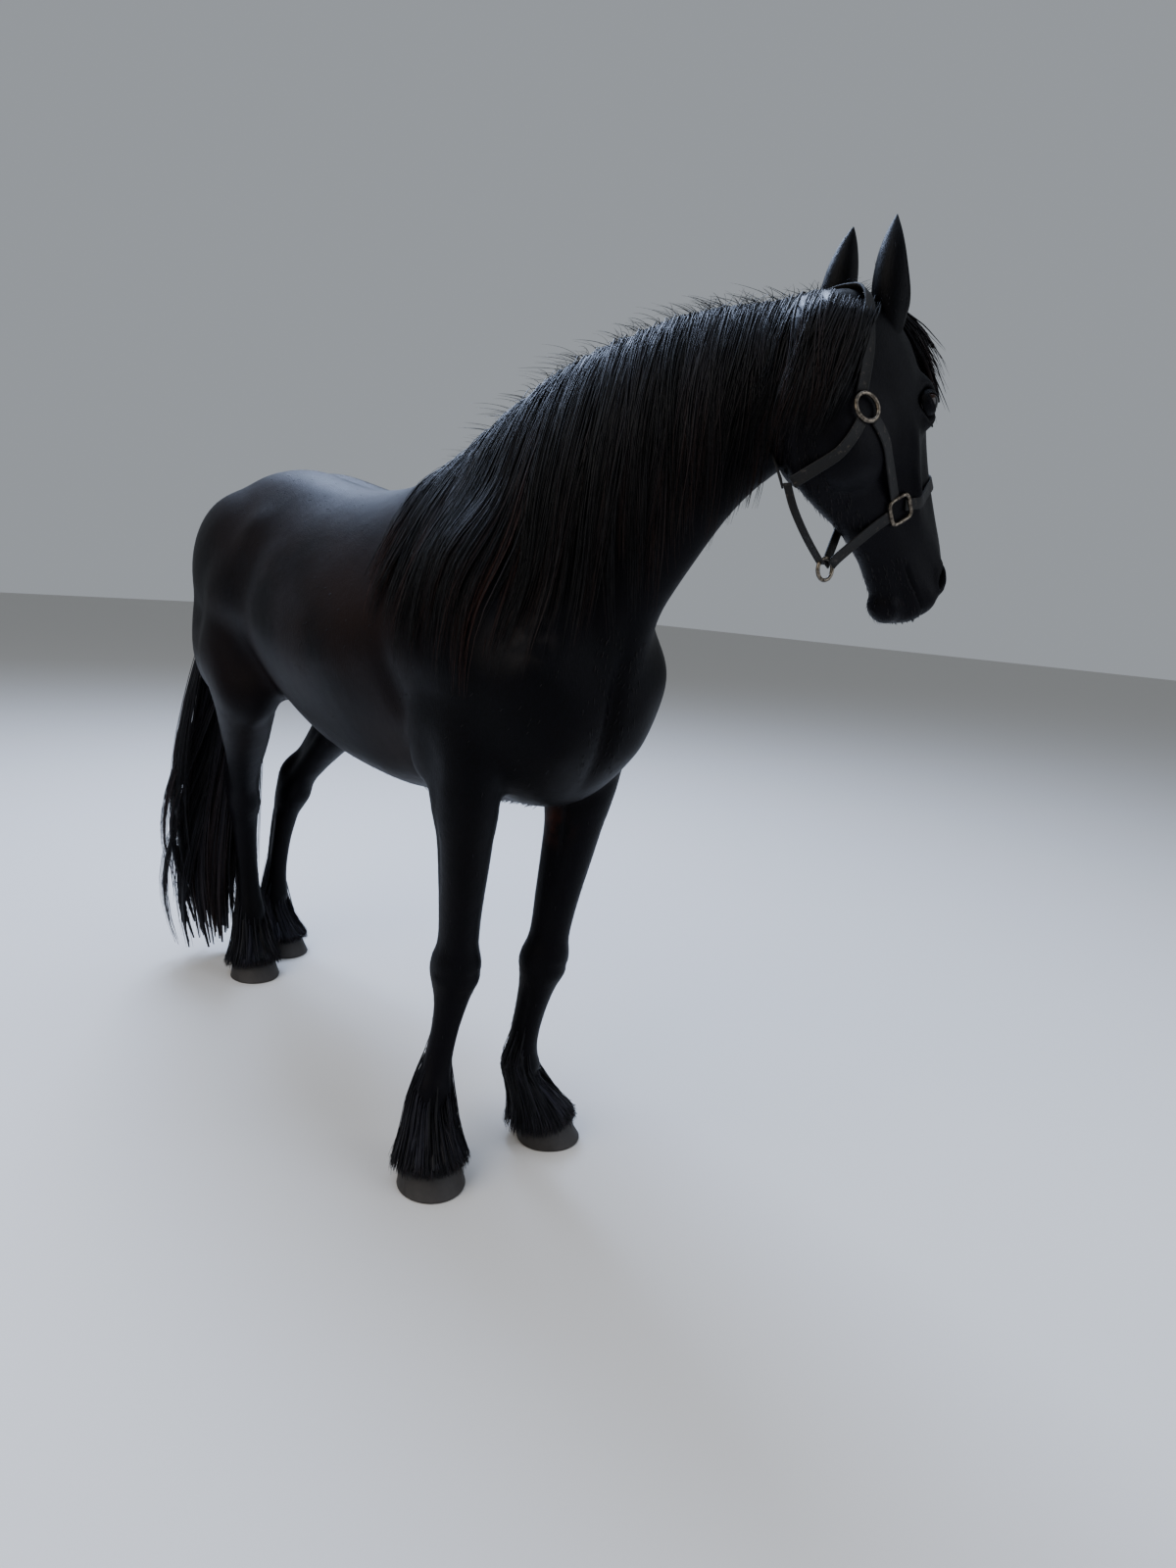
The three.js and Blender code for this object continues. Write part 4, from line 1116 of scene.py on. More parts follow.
def leg_relief(leg: Leg, places: Array) -> Array:
    """How far tendons, joints and the point of hock or knee move a leg's skin.

    Args:
        leg: The leg.
        places: All vertices of the skin, in the horse's millimetres.

    Returns:
        One height for each vertex, 0 away from this leg.
    """
    line = np.linspace(1.0, 4.0, 121)
    centres = leg.path(line)
    height = np.zeros(len(places))
    near = np.nonzero((places[:, 2] < 900)
                      & (np.abs(places[:, 0] - centres[:, 0].mean()) < 420))[0]
    if not len(near):
        return height
    gaps = places[near][:, None, :] - centres[None, :, :]
    distance = np.linalg.norm(gaps, axis=2)
    best = distance.argmin(axis=1)
    rows = np.arange(len(near))
    close = distance[rows, best] < 125
    axes = [leg.station(at) for at in line]
    fronts = np.array([axis[1] for axis in axes])[best]
    sides = np.array([axis[2] for axis in axes])[best]
    gap = gaps[rows, best]
    forward = (gap * fronts).sum(axis=1)
    across = np.abs((gap * sides).sum(axis=1))
    at = line[best]

    cannon = np.clip((at - 2.15) / 0.15, 0, 1) * np.clip((2.95 - at) / 0.15, 0, 1)
    lift = -5.0 * cannon * np.exp(-0.5 * ((forward + 12) / 7) ** 2) * (across > 12)
    for centre, length, fore, radius, high in FORE_RISES if leg.fore else HIND_RISES:
        spread = ((at - centre) / length) ** 2 + ((forward - fore) / radius) ** 2
        lift += high * np.exp(-0.5 * spread)
    height[near] = lift * close
    return height


@dataclass
class Strands:
    """Flat tapered strands of hair, gathered before they become one mesh."""

    paths: list[Array] = field(default_factory=list)
    faces: list[Array] = field(default_factory=list)
    widths: list[Array] = field(default_factory=list)
    depths: list[Array] = field(default_factory=list)
    tones: list[Array] = field(default_factory=list)
    roots: list[Array] = field(default_factory=list)
    patch_size: float = 0.003

    def add(self, paths: Array, faces: Array, width: Array | float, depth: float,
            tone: Array | float, root: Array | tuple[float, float], taper: float = 0.8) -> None:
        """Adds a group of strands.

        Args:
            paths: Their points in the horse's millimetres, strand by station by axis.
            faces: The directions that their flat sides look to.
            width: Their breadths at the broadest.
            depth: Their thickness at the root.
            tone: Numbers from 0 to 1 that vary their colour.
            root: The places of their roots on the unwrapped skin.
            taper: How sharply they narrow.
        """
        count, stations, _ = paths.shape
        share = np.linspace(0, 1, stations)
        breadth = np.maximum(0.05, np.sin(np.pi * (0.3 + 0.68 * share)) ** taper)
        self.paths.append(paths)
        self.faces.append(np.broadcast_to(faces, paths.shape))
        self.widths.append(np.broadcast_to(width, count)[:, None] * breadth)
        thickness = depth * np.maximum(0.15, 1 - 0.8 * share)
        self.depths.append(np.broadcast_to(thickness, (count, stations)))
        self.tones.append(np.clip(np.broadcast_to(tone, count), 0, 1))
        self.roots.append(np.broadcast_to(np.asarray(root, float), (count, 2)))

    def build(self, name: str) -> Piece:
        """Turns all strands into one mesh of closed tapers with its root map and attributes.

        Args:
            name: The new object's name.

        Returns:
            The mesh of all strands.
        """
        paths = to_scene(np.concatenate(self.paths))
        count, stations, _ = paths.shape
        run = unit(np.gradient(paths, axis=1))
        across = unit(np.cross(run, np.concatenate(self.faces)))
        face = np.cross(across, run)
        half_width = np.concatenate(self.widths)[..., None] * MM / 2
        half_depth = np.concatenate(self.depths)[..., None] * MM / 2
        rings = np.stack([paths + across * half_width, paths + face * half_depth,
                          paths - across * half_width, paths - face * half_depth], axis=2)
        ids = np.arange(count * stations * 4).reshape(count, stations, 4)
        quads = []
        for i in range(4):
            j = (i + 1) % 4
            strip = [ids[:, :-1, i], ids[:, 1:, i], ids[:, 1:, j], ids[:, :-1, j]]
            quads.append(np.stack(strip, axis=-1).reshape(-1, 4))
        quads.append(ids[:, 0, :])
        quads.append(ids[:, -1, ::-1])
        corners = np.concatenate(quads).astype(np.int32)
        mesh = bpy.data.meshes.new(name)
        mesh.vertices.add(ids.size)
        mesh.vertices.foreach_set("co", rings.reshape(-1).astype(np.float32))
        mesh.loops.add(corners.size)
        mesh.loops.foreach_set("vertex_index", corners.ravel())
        mesh.polygons.add(len(corners))
        mesh.polygons.foreach_set("loop_start", np.arange(0, corners.size, 4, dtype=np.int32))
        mesh.update(calc_edges=True)
        piece = bpy.data.objects.new(name, mesh)
        bpy.context.collection.objects.link(piece)
        along = np.broadcast_to(np.linspace(0, 1, stations)[None, :, None], ids.shape)
        tone = np.broadcast_to(np.concatenate(self.tones)[:, None, None], ids.shape)
        set_attribute(piece, "along", along.ravel())
        set_attribute(piece, "tone", tone.ravel())
        patch = np.empty((*ids.shape, 2))
        roots = np.concatenate(self.roots)
        patch[..., 0] = roots[:, 0, None, None] + np.array([0, 0.5, 1, 0.5]) * self.patch_size
        patch[..., 1] = roots[:, 1, None, None] + along * self.patch_size
        root_map = mesh.uv_layers.new(name="OFBake")
        spread = patch.reshape(-1, 2)[corners.ravel()]
        root_map.data.foreach_set("uv", spread.astype(np.float32).ravel())
        shade_smooth(piece)
        return piece


def along_guide(guide: Array, cuts: Array) -> Array:
    """Copies a guide once for each cut, each copy ending at that share of the guide.

    Args:
        guide: The guide's points.
        cuts: Shares of its length, from 0 to 1.

    Returns:
        Paths, strand by station by axis.
    """
    last = len(guide) - 1
    place = np.outer(cuts, np.arange(last + 1))
    low = np.minimum(place.astype(int), last - 1)
    part = (place - low)[..., None]
    return guide[low] * (1 - part) + guide[low + 1] * part


@dataclass(frozen=True)
class Draws:
    """Random numbers for a group of strands, one for each strand."""

    source: Random
    count: int

    def even(self, low: float, high: float) -> Array:
        """Even draws between two limits, shaped to act on whole paths."""
        return self.source.uniform(low, high, (self.count, 1, 1))

    def bell(self, width: float) -> Array:
        """Draws that gather round zero, shaped to act on whole paths."""
        return self.source.normal(0, width, (self.count, 1, 1))

    def breadths(self, low: float, high: float) -> Array:
        """Even draws between two limits, one number for each strand."""
        return self.source.uniform(low, high, self.count)

    def turns(self) -> Array:
        """A random direction for each strand, shaped to act on whole paths."""
        return self.source.normal(size=(self.count, 1, 3))

    def tones(self, tone: float, width: float = 0.2) -> Array:
        """Tones that gather round the tone of their lock."""
        return tone + self.source.normal(0, width, self.count)

    def roots(self, root: Array, width: float = 0.002) -> Array:
        """Places on the unwrap that gather round the root of their lock."""
        return root + self.source.normal(0, width, (self.count, 2))


class SkinMap:
    """The unwrap of the skin on which each root keeps its place: length by angle round the body."""

    def __init__(self) -> None:
        """Starts with the ends and the middle line of the horse, in millimetres."""
        self.back = -1560.0
        self.front = 760.0
        self.axis_height = 1180.0
        self.axis_rise = 260.0
        self.leg_top = 420.0

    def place(self, spots: Array) -> Array:
        """The places of points of the body on the unwrap.

        Args:
            spots: Places in the horse's millimetres, in the last axis.

        Returns:
            Two numbers from 0 to 1 for each place.
        """
        spots = np.asarray(spots, float)
        share = np.clip((spots[..., 0] - self.back) / (self.front - self.back), 0, 1)
        rise = np.maximum(0.0, (spots[..., 0] - 100) / 600)
        middle = self.axis_height + self.axis_rise * rise
        angle = np.arctan2(spots[..., 1], spots[..., 2] - middle) / (2 * math.pi) + 0.5
        on_leg = 0.02 + 0.2 * spots[..., 2] / self.leg_top
        angle = np.where(spots[..., 2] < self.leg_top, on_leg, angle)
        return np.stack([0.01 + 0.97 * share, 0.01 + 0.97 * angle], axis=-1)


SKIN_MAP = SkinMap()


class Surface:
    """The skin as a surface that hair and straps lie on."""

    def __init__(self, piece: Piece) -> None:
        """Reads the finished mesh of a piece.

        Args:
            piece: The finished object.
        """
        self.places = mesh_places(piece)
        piece.data.calc_loop_triangles()
        corners = np.empty(len(piece.data.loop_triangles) * 3, np.int32)
        piece.data.loop_triangles.foreach_get("vertices", corners)
        self.corners = corners.reshape(-1, 3)
        self.tree = BVHTree.FromPolygons(self.places.tolist(), self.corners.tolist())

    def hit(self, start: Array, way: Array) -> tuple[Array, Array] | None:
        """Where a straight line from outside meets the skin, with the normal, in millimetres.

        Args:
            start: Where the line starts, in the horse's millimetres.
            way: Its direction.

        Returns:
            The place and the normal there, or None where the line misses.
        """
        place, normal, _, _ = self.tree.ray_cast(Vector(to_scene(start)), Vector(way))
        if place is None:
            return None
        return to_horse(np.array(place)), np.array(normal)

    def nearest(self, spot: Array) -> tuple[Array, Array, float]:
        """The nearest point of the skin, its normal, and how far outside it the spot lies.

        Args:
            spot: A place in the horse's millimetres.

        Returns:
            The place on the skin, its normal and the gap.
        """
        place, normal, _, _ = self.tree.find_nearest(Vector(to_scene(spot)))
        foot = to_horse(np.array(place))
        outward = np.array(normal)
        return foot, outward, float((spot - foot) @ outward)

    def scatter(self, count: int, draw: Random) -> tuple[Array, Array]:
        """Spreads points evenly over the skin and returns them with their normals.

        Args:
            count: How many points to spread.
            draw: The source of random numbers.

        Returns:
            The points in the horse's millimetres and their normals.
        """
        a, b, c = (self.places[self.corners[:, k]] for k in range(3))
        normal = np.cross(b - a, c - a)
        area = np.linalg.norm(normal, axis=1)
        chosen = draw.choice(len(area), count, p=area / area.sum())
        u, v = draw.random((2, count, 1))
        fold = u + v > 1
        u, v = np.where(fold, 1 - u, u), np.where(fold, 1 - v, v)
        spots = a[chosen] + (b - a)[chosen] * u + (c - a)[chosen] * v
        return to_horse(spots), unit(normal[chosen])


@dataclass
class Mane:
    """The mane, rooted along the crest and fallen over the right side of the neck."""

    neck: Neck
    surface: Surface
    clumps: int = 132
    strands: int = 38
    points: int = 14
    pieces: int = 3
    strays: int = 3
    crest_steps: int = 400
    # How far the locks drift forward as they fall, at shares of the crest.
    drifts: Rows = ((0, 0.5, 0.75, 1), (15, 15, -30, -72))
    lengths: tuple[float, ...] = (330, 500, 620, 650, 610, 530, 440, 370, 300, 250)

    def build(self) -> list[Piece]:
        """Lays broad under locks with fine strands over them, in pieces along the crest.

        Returns:
            One object for each piece of the crest, from the withers to the poll.
        """
        draw = np.random.default_rng(11)
        rows = spline_rows(self.neck.rows, self.crest_steps)
        built = []
        for part in range(self.pieces):
            hair = Strands()
            first = part * self.clumps // self.pieces
            for clump in range(first, (part + 1) * self.clumps // self.pieces):
                place = 0.985 * (clump + 0.5) / self.clumps
                self.add_lock(hair, rows, place, 4.0 + 4.0 * (clump % 3), draw)
            built.append(hair.build(f"mane_{part + 1}"))
        return built

    def add_lock(self, hair: Strands, rows: Array, t: float, lift: float, draw: Random) -> None:
        """Adds one under lock and its strands at a share of the crest.

        Args:
            hair: The strands so far.
            rows: The neck's rows along the crest.
            t: The lock's share of the crest.
            lift: How far it lies off the neck.
            draw: The source of random numbers.
        """
        index = int(t * self.crest_steps)
        crest = rows[index, :3]
        run = rows[min(index + 6, self.crest_steps), :3] - rows[max(index - 6, 0), :3]
        run = unit(run * np.array([1, 1, 0]))
        right = np.cross(run, UP)
        length = np.interp(t * 9, range(10), self.lengths) * draw.uniform(0.8, 1.06)
        guide = self.fall(t, crest, run, right, length, lift, draw)
        tone = draw.uniform()
        root = SKIN_MAP.place(crest)
        under = along_guide(guide, np.array([0.8])) - right * 2
        under[0, :4] = (crest + right * np.array([[-4], [2], [8], [14]])
                        - UP * np.array([[26], [22], [20], [22]]))
        hair.add(under, right + UP * 0.25, 44, 5, tone, root, 0.9)
        draws = Draws(draw, self.strands)
        share = np.linspace(0, 1, self.points)[None, :, None]
        paths = along_guide(guide, draws.breadths(0.66, 1.0))
        spread = draws.bell(15) * (1 - 0.45 * share)
        spread = spread + draws.even(-16, 16) * (1 - share) ** 4
        swing = draws.even(1, 7) * np.sin(draws.even(0, 6.3) + draws.even(3, 9) * share)
        paths = paths + run * (spread + swing * share ** 0.5)
        out = draws.even(0, 7) * np.minimum(1, 4 * share)
        paths = paths + right * (out + draws.even(-2, 7) * share ** 2)
        paths = paths + UP * draws.bell(1.4)
        faces = unit(right + run * draws.bell(0.5) + UP * 0.2)
        hair.add(paths, faces, draws.breadths(1.6, 3.8), 1.3, draws.tones(tone, 0.25),
                 draws.roots(root, 0.003))
        self.add_strays(hair, crest, run, right, tone, draw)

    def add_strays(self, hair: Strands, crest: Array, run: Array, right: Array,
                   tone: float, draw: Random) -> None:
        """Adds a few short hairs that stand away from the crest.

        Args:
            hair: The strands so far.
            crest: The lock's root.
            run: The direction along the crest.
            right: The direction to the horse's right.
            tone: The lock's tone.
            draw: The source of random numbers.
        """
        draws = Draws(draw, self.strays)
        share = np.linspace(0, 1, self.points)[None, :, None]
        start = crest + run * draws.bell(14) - UP * 8 + right * draws.even(-6, 10)
        paths = (start + UP * draws.even(5, 14) * np.sin(np.pi * 0.72 * share)
                 + run * draws.bell(34) * share + right * draws.even(-14, 80) * share ** 1.6)
        hair.add(paths, unit(right + UP * draws.bell(0.5)), draws.breadths(0.8, 1.3), 0.8,
                 draws.tones(tone), draws.roots(SKIN_MAP.place(crest), 0.003))

    def fall(self, t: float, crest: Array, run: Array, right: Array, length: float,
             lift: float, draw: Random) -> Array:
        """The path of one lock, from inside the crest over the side of the neck.

        Args:
            t: The lock's share of the crest.
            crest: The lock's root.
            run: The direction along the crest.
            right: The direction to the horse's right.
            length: How far down the lock reaches.
            lift: How far it lies off the neck.
            draw: The source of random numbers.

        Returns:
            The points of the path.
        """
        drift = np.interp(t, *self.drifts) + draw.uniform(-22, 22)
        wave = draw.uniform(4, 12)
        phase = draw.uniform(0, 6)
        points = [crest - right * 24 - UP * 24, crest - right * 15 - UP * 4,
                  crest + UP * (2 + lift * 0.35)]
        reach = 8.0
        for share in np.linspace(0, 1, self.points - 2)[1:]:
            place = (crest + run * (drift * share + wave * math.sin(phase + 5 * share))
                     - UP * (2 + length * share ** 0.93))
            hit = self.surface.hit(place + right * 700, -right)
            limit = reach if hit is None else max(reach - 60, (hit[0] - place) @ right + lift)
            reach = max(limit, 0.3 * limit + 0.7 * reach)
            points.append(place + right * reach)
        path = np.array(points)
        path[1:-1] = (path[:-2] + 2 * path[1:-1] + path[2:]) / 4
        return path


@dataclass
class Forelock:
    """The forelock, fallen from between the ears over the forehead."""

    clumps: int = 22
    strands: int = 26
    points: int = 11
    length: float = 262.0

    def build(self) -> Piece:
        """Lays clumps of strands side by side.

        Returns:
            The forelock's mesh.
        """
        draw = np.random.default_rng(23)
        hair = Strands()
        along_axis, brow_axis, right_axis = HEAD_FRAME.axes
        share = np.linspace(0, 1, self.points)
        for clump in range(self.clumps):
            spread = clump / (self.clumps - 1) * 2 - 1
            length = self.length * draw.uniform(0.65, 1.06)
            lift = 2 + 3 * (clump % 3)
            right = spread * (18 + 44 * share) + draw.uniform(3, 8) * np.sin(5 * share + clump)
            along = 6 + length * share
            forehead = np.interp(along, [-4, 40, 96, 154, 278], [-40, 2, 30, 39, 34])
            arch = 22 * draw.uniform(0.05, 1) * np.sin(np.pi * share * 0.75)
            brow = forehead + lift + arch - 0.0032 * right ** 2
            brow[0] = -44
            guide = (np.array(HEAD_FRAME.poll) + np.outer(along, along_axis)
                     + np.outer(brow, brow_axis) + np.outer(right, right_axis))
            tone = draw.uniform()
            root = SKIN_MAP.place(guide[0])
            hair.add(guide[None], brow_axis, 20, 4, tone, root, 0.6)
            draws = Draws(draw, self.strands)
            level = share[None, :, None]
            paths = along_guide(guide, draws.breadths(0.6, 1.0))
            paths = paths + right_axis * (draws.bell(13) * level + draws.bell(6))
            paths = paths + brow_axis * draws.even(-2, 8) * np.minimum(1, 3 * level)
            paths = paths + brow_axis * draws.even(-5, 26) * level ** 2
            hair.add(paths, brow_axis + right_axis * draws.bell(0.4), draws.breadths(2, 4),
                     1.3, draws.tones(tone), draws.roots(root))
        return hair.build("forelock")


@dataclass
class Tail:
    """The tail, its dock and its long hair, in millimetres."""

    clumps: int = 100
    strands: int = 34
    points: int = 14
    pieces: int = 2
    bend_row: int = 34
    root_rows: int = 73
    dock_rows: int = 100
    lowest: float = 46.0
    ground_gap: float = 14.0
    hair_depth: float = 7.0
    # The dock's place, half width and half depth.
    rows: Rows = (
        (-1340, 0, 1400, 34, 32),
        (-1396, -4, 1384, 40, 34),
        (-1436, -14, 1310, 44, 34),
        (-1448, -30, 1180, 48, 34),
        (-1450, -48, 1010, 50, 34),
        (-1454, -68, 850, 42, 28),
        (-1456, -82, 740, 22, 16),
    )

    def core(self) -> Piece:
        """Lofts the dock, which the hair covers.

        Returns:
            The closed loft.
        """
        rings = []
        rows = spline_rows(self.rows, 26)
        for i, (x, y, z, wide, deep) in enumerate(rows):
            up = np.array([-1.0, 0, 0]) if i > 6 else unit(np.array([-0.16 * i, 0, 1.0]))
            deep, wide = deep - self.hair_depth, wide - self.hair_depth
            rings.append(Section(np.array([x, y, z]), up, LEFT, deep, deep, wide,
                                 square=1).ring(18))
        return loft("dock_shape", rings)

    def build(self) -> list[Piece]:
        """Hangs locks and strands from all round the dock.

        Returns:
            One object for each piece, with locks all round in each.
        """
        draw = np.random.default_rng(37)
        rows = spline_rows(self.rows, self.dock_rows)
        built = []
        for part in range(self.pieces):
            hair = Strands()
            for clump in range(part, self.clumps, self.pieces):
                self.add_lock(hair, rows, clump, draw)
            built.append(hair.build(f"tail_hair_{part + 1}"))
        return built

    def add_lock(self, hair: Strands, rows: Array, clump: int, draw: Random) -> None:
        """Adds one lock that hangs from the dock, with its strands.

        Args:
            hair: The strands so far.
            rows: The dock's rows from top to bottom.
            clump: The lock's number, which sets its place on the dock.
            draw: The source of random numbers.
        """
        first = int(1 + self.root_rows * ((clump * 37) % self.clumps) / self.clumps)
        around = (clump * GOLDEN_ANGLE + math.pi) % (2 * math.pi) - math.pi
        if first < self.bend_row:
            around *= 0.62
        leave = 0.26 if first < self.bend_row else 0.0
        share = np.linspace(0, 1, self.points)
        run_down = np.minimum(1, share / max(leave, 0.01))
        on_dock = (first + (max(first, self.bend_row) - first) * run_down).astype(int)
        path = rows[on_dock, :3].copy()
        tip = self.lowest + 300 * draw.uniform() ** 2.0
        path[:, 2] -= (path[-1, 2] - tip) * np.maximum(0, share - leave) / (1 - leave)
        share = share[:, None]
        back = unit(np.cross(LEFT, np.gradient(rows[:, :3], axis=0)))[on_dock]
        wide, deep = rows[on_dock, 3, None], rows[on_dock, 4, None]
        reach = back * (math.cos(around) * (deep + 2)) + LEFT * (math.sin(around) * wide)
        outs = unit(reach)
        out = unit(outs[-1] * np.array([1, 1, 0]))
        swing = np.array([-58 + 62 * draw.uniform(), -30 - 130 * draw.uniform(), 0.0])
        fan = draw.uniform(26, 66)
        phase = draw.uniform(0, 6)
        belly = (np.sin(np.pi * np.minimum(1, 0.08 + 0.74 * share ** 1.25))
                 * np.clip((share - leave) * 6, 0.1, 1))
        wave = np.hstack([8 * np.sin(phase + 6 * share), 10 * np.cos(phase + 5 * share), 0 * share])
        guide = (path + reach * np.minimum(1.04, 0.6 + 6 * share) + out * (fan * belly * 0.6)
                 + swing * np.sin(np.pi * 0.62 * share) ** 3 + wave * share)
        tone = draw.uniform()
        root = SKIN_MAP.place(path[0] + reach[0])
        hair.add(guide[None], outs[None], 30, 6, tone, root, 0.6)
        draws = Draws(draw, self.strands)
        side = unit(np.cross(np.gradient(path, axis=0) - 0.01 * UP, outs))
        level = share[None]
        paths = along_guide(guide, draws.breadths(0.7, 1.0))
        drift = draws.bell(12) * (0.5 + 0.7 * level)
        curl = draws.even(1, 6) * np.sin(draws.even(0, 6.3) + draws.even(7, 13) * level)
        paths = paths + side * (drift + curl * level ** 0.5)
        paths = paths + outs * draws.even(-4, 9) * np.minimum(1, 3 * level)
        paths[..., 2] = np.maximum(paths[..., 2], self.ground_gap)
        hair.add(paths, unit(outs + 0.4 * draws.turns()), draws.breadths(2.4, 5), 1.5,
                 draws.tones(tone), draws.roots(root))


@dataclass
class Feather:
    """The long hair of one fetlock that falls like a bell over its hoof."""

    leg: Leg
    seed: int
    clumps: int = 56
    strands: int = 26
    points: int = 9
    clear: float = 5.0
    bell_radius: float = 71.0

    def build(self) -> Piece:
        """Hangs strands from the back of the cannon and all round the fetlock and pastern.

        Returns:
            The feather's mesh.
        """
        draw = np.random.default_rng(self.seed)
        hair = Strands()
        for clump in range(self.clumps):
            turn = (clump * GOLDEN_SHARE) % 1 * 2 * math.pi
            rear = 0.5 - 0.5 * math.cos(turn)
            root_at = 3.76 - (0.7 + 0.55 * rear ** 1.2) * ((clump * SILVER_SHARE) % 1)
            self.add_lock(hair, turn, rear, root_at, draw)
        return hair.build(f"feather_{self.leg.foot.value}")

    def add_lock(self, hair: Strands, turn: float, rear: float, start: float, draw: Random) -> None:
        """Adds one lock at an angle round the leg, where 0 is its front.

        Args:
            hair: The strands so far.
            turn: The angle, in radians.
            rear: How far behind the leg it is, from 0 to 1.
            start: The station of its root on the leg.
            draw: The source of random numbers.
        """
        leg = self.leg
        draws, loose = Draws(draw, self.strands + 1), Draws(draw, self.strands)
        turns = turn + draws.bell(0.16)
        turns[0] = turn
        out = leg.forward * np.cos(turns) + leg.across * np.sin(turns)
        starts = np.clip(draws.tones(start, 0.12), 2.4, 3.8)
        share = np.linspace(0, 1, self.points)
        stations = starts[:, None] + (3.86 - starts[:, None]) * np.minimum(1, share / 0.72)
        front, back, side = np.moveaxis(leg.sizes(stations), -1, 0)
        ahead = np.cos(turns[..., 0])
        skin = np.where(ahead > 0, front, back) * ahead ** 2 + side * (1 - ahead ** 2)
        lift = np.where(share == 0, -6.0, 2.0 + 7.0 * rear * share) + draws.even(0, 4)[..., 0]
        close = leg.path(stations) + out * (skin + lift)[..., None]
        height = self.clear + 19 + 24 * (1 - rear) + 26 * draws.even(0, 1) ** 1.6
        level_sole = np.array(leg.sole) * np.array([1, 1, 0])
        end = level_sole + out * (self.bell_radius + 22 * rear + draws.even(-9, 7))
        end = end - leg.forward * 6 + UP * height
        free = np.clip((share - 0.12) / 0.88, 0, 1)
        leave = np.stack([1 - (1 - free) ** 2.2, 1 - (1 - free) ** 2.2, free ** 1.5], axis=-1)
        paths = close * (1 - leave) + end * leave
        share = share[None, :, None]
        root = paths[:, :1]
        around = np.cross(UP, out)
        paths = paths + around * draws.even(-1.5, 1.5) * np.sin(7 * share + turns * 9)
        paths = paths + out * draws.even(-3, 4) * share
        paths[..., 2] = np.maximum(paths[..., 2], self.clear)
        tone = draw.uniform()
        place = SKIN_MAP.place(root[0, 0])
        hair.add(paths[:1] - out[:1] * 4, out[:1], 24, 4, tone, place, 1.5)
        hair.add(paths[1:], unit(out[1:] + 0.25 * loose.turns()), loose.breadths(1.9, 3.6), 1.2,
                 loose.tones(tone), loose.roots(place))


@dataclass
class CoatTufts:
    """Short tufts that break the coat's outline where it is longest, smallest on the face."""

    surface: Surface
    count: int = 5000
    tries: int = 160000
    points: int = 4

    def build(self) -> Piece:
        """Scatters tufts that lie along the coat.

        Returns:
            The mesh of all tufts.
        """
        draw = np.random.default_rng(71)
        spots, normals = self.surface.scatter(self.tries, draw)
        weight, length = self.regions(spots, normals)
        chosen = np.nonzero(draw.random(len(spots)) < weight)[0]
        chosen = draw.permutation(chosen)[:self.count]
        spots, normals, length = spots[chosen], normals[chosen], length[chosen]
        lie = self.lie(spots)
        lie = unit(lie - normals * (lie * normals).sum(axis=1, keepdims=True))
        share = np.linspace(0, 1, self.points)[None, :, None]
        size = (length * draw.uniform(0.6, 1.2, len(spots)))[:, None, None]
        paths = spots[:, None, :] + lie[:, None, :] * size * share
        paths = paths + normals[:, None, :] * (-1.2 + size * 0.34 * share + 0.6)
        paths = paths - UP * size * 0.12 * share ** 2
        hair = Strands()
        hair.add(paths, normals[:, None, :] * np.ones((1, self.points, 1)), length * 0.1 + 0.8, 0.9,
                 draw.random(len(spots)), SKIN_MAP.place(spots))
        return hair.build("coat_tufts")

    def lie(self, spots: Array) -> Array:
        """The direction in which the coat lies at each spot.

        Args:
            spots: Places in the horse's millimetres.

        Returns:
            One direction for each place.
        """
        lie = np.tile(np.array([-0.8, 0.0, -0.6]), (len(spots), 1))
        lie[spots[:, 2] < 850] = (0.0, 0.0, -1.0)
        head = HEAD_FRAME.within(spots)
        lie[(head[:, 0] > 20) & (spots[:, 0] > 480) & (head[:, 1] > -330)] = HEAD_FRAME.axes[0]
        behind_poll = (head[:, 0] < 12) & (spots[:, 0] > 480)
        lie[behind_poll] = -HEAD_FRAME.axes[0] + 0.5 * HEAD_FRAME.axes[1]
        return lie

    def regions(self, spots: Array, normals: Array) -> tuple[Array, Array]:
        """How likely a tuft is at each spot, and how long it is there.

        Args:
            spots: Places in the horse's millimetres.
            normals: The skin's normals there.

        Returns:
            One chance and one length for each place.
        """
        x, y, z = spots.T
        head = HEAD_FRAME.within(spots)
        on_head = (head[:, 0] > 0) & (x > 480) & (head[:, 1] > -330)
        weight = np.full(len(spots), 0.006)
        length = np.full(len(spots), 9.0)

        def region(mask: Array, share: float, size: float) -> None:
            """Sets the weight and length of one region."""
            weight[mask] = share
            length[mask] = size

        region(on_head, 0.008, 3.6)
        region(on_head & (head[:, 0] > 440) & (head[:, 1] < -120), 0.3, 9.0)
        under_jaw = (head[:, 1] < -190) & (np.abs(head[:, 2]) < 42) & (head[:, 0] < 420)
        region(on_head & under_jaw, 0.35, 11.0)
        region(on_head & (head[:, 0] < 30) & (head[:, 1] > -90), 0.3, 7.0)
        region((normals[:, 2] < -0.93) & (z > 780) & (z < 960), 0.12, 16.0)
        region((z < 960) & (z > 620) & (normals[:, 0] < -0.85), 0.10, 15.0)
        region((z < 520) & (z > 210) & (normals[:, 0] < -0.8), 0.35, 14.0)
        region((x < -1330) & (z > 900) & (z < 1250), 0.08, 14.0)
        region((x > 260) & (np.abs(y) < 60) & (z < 1250), 0.12, 12.0)
        return weight, length


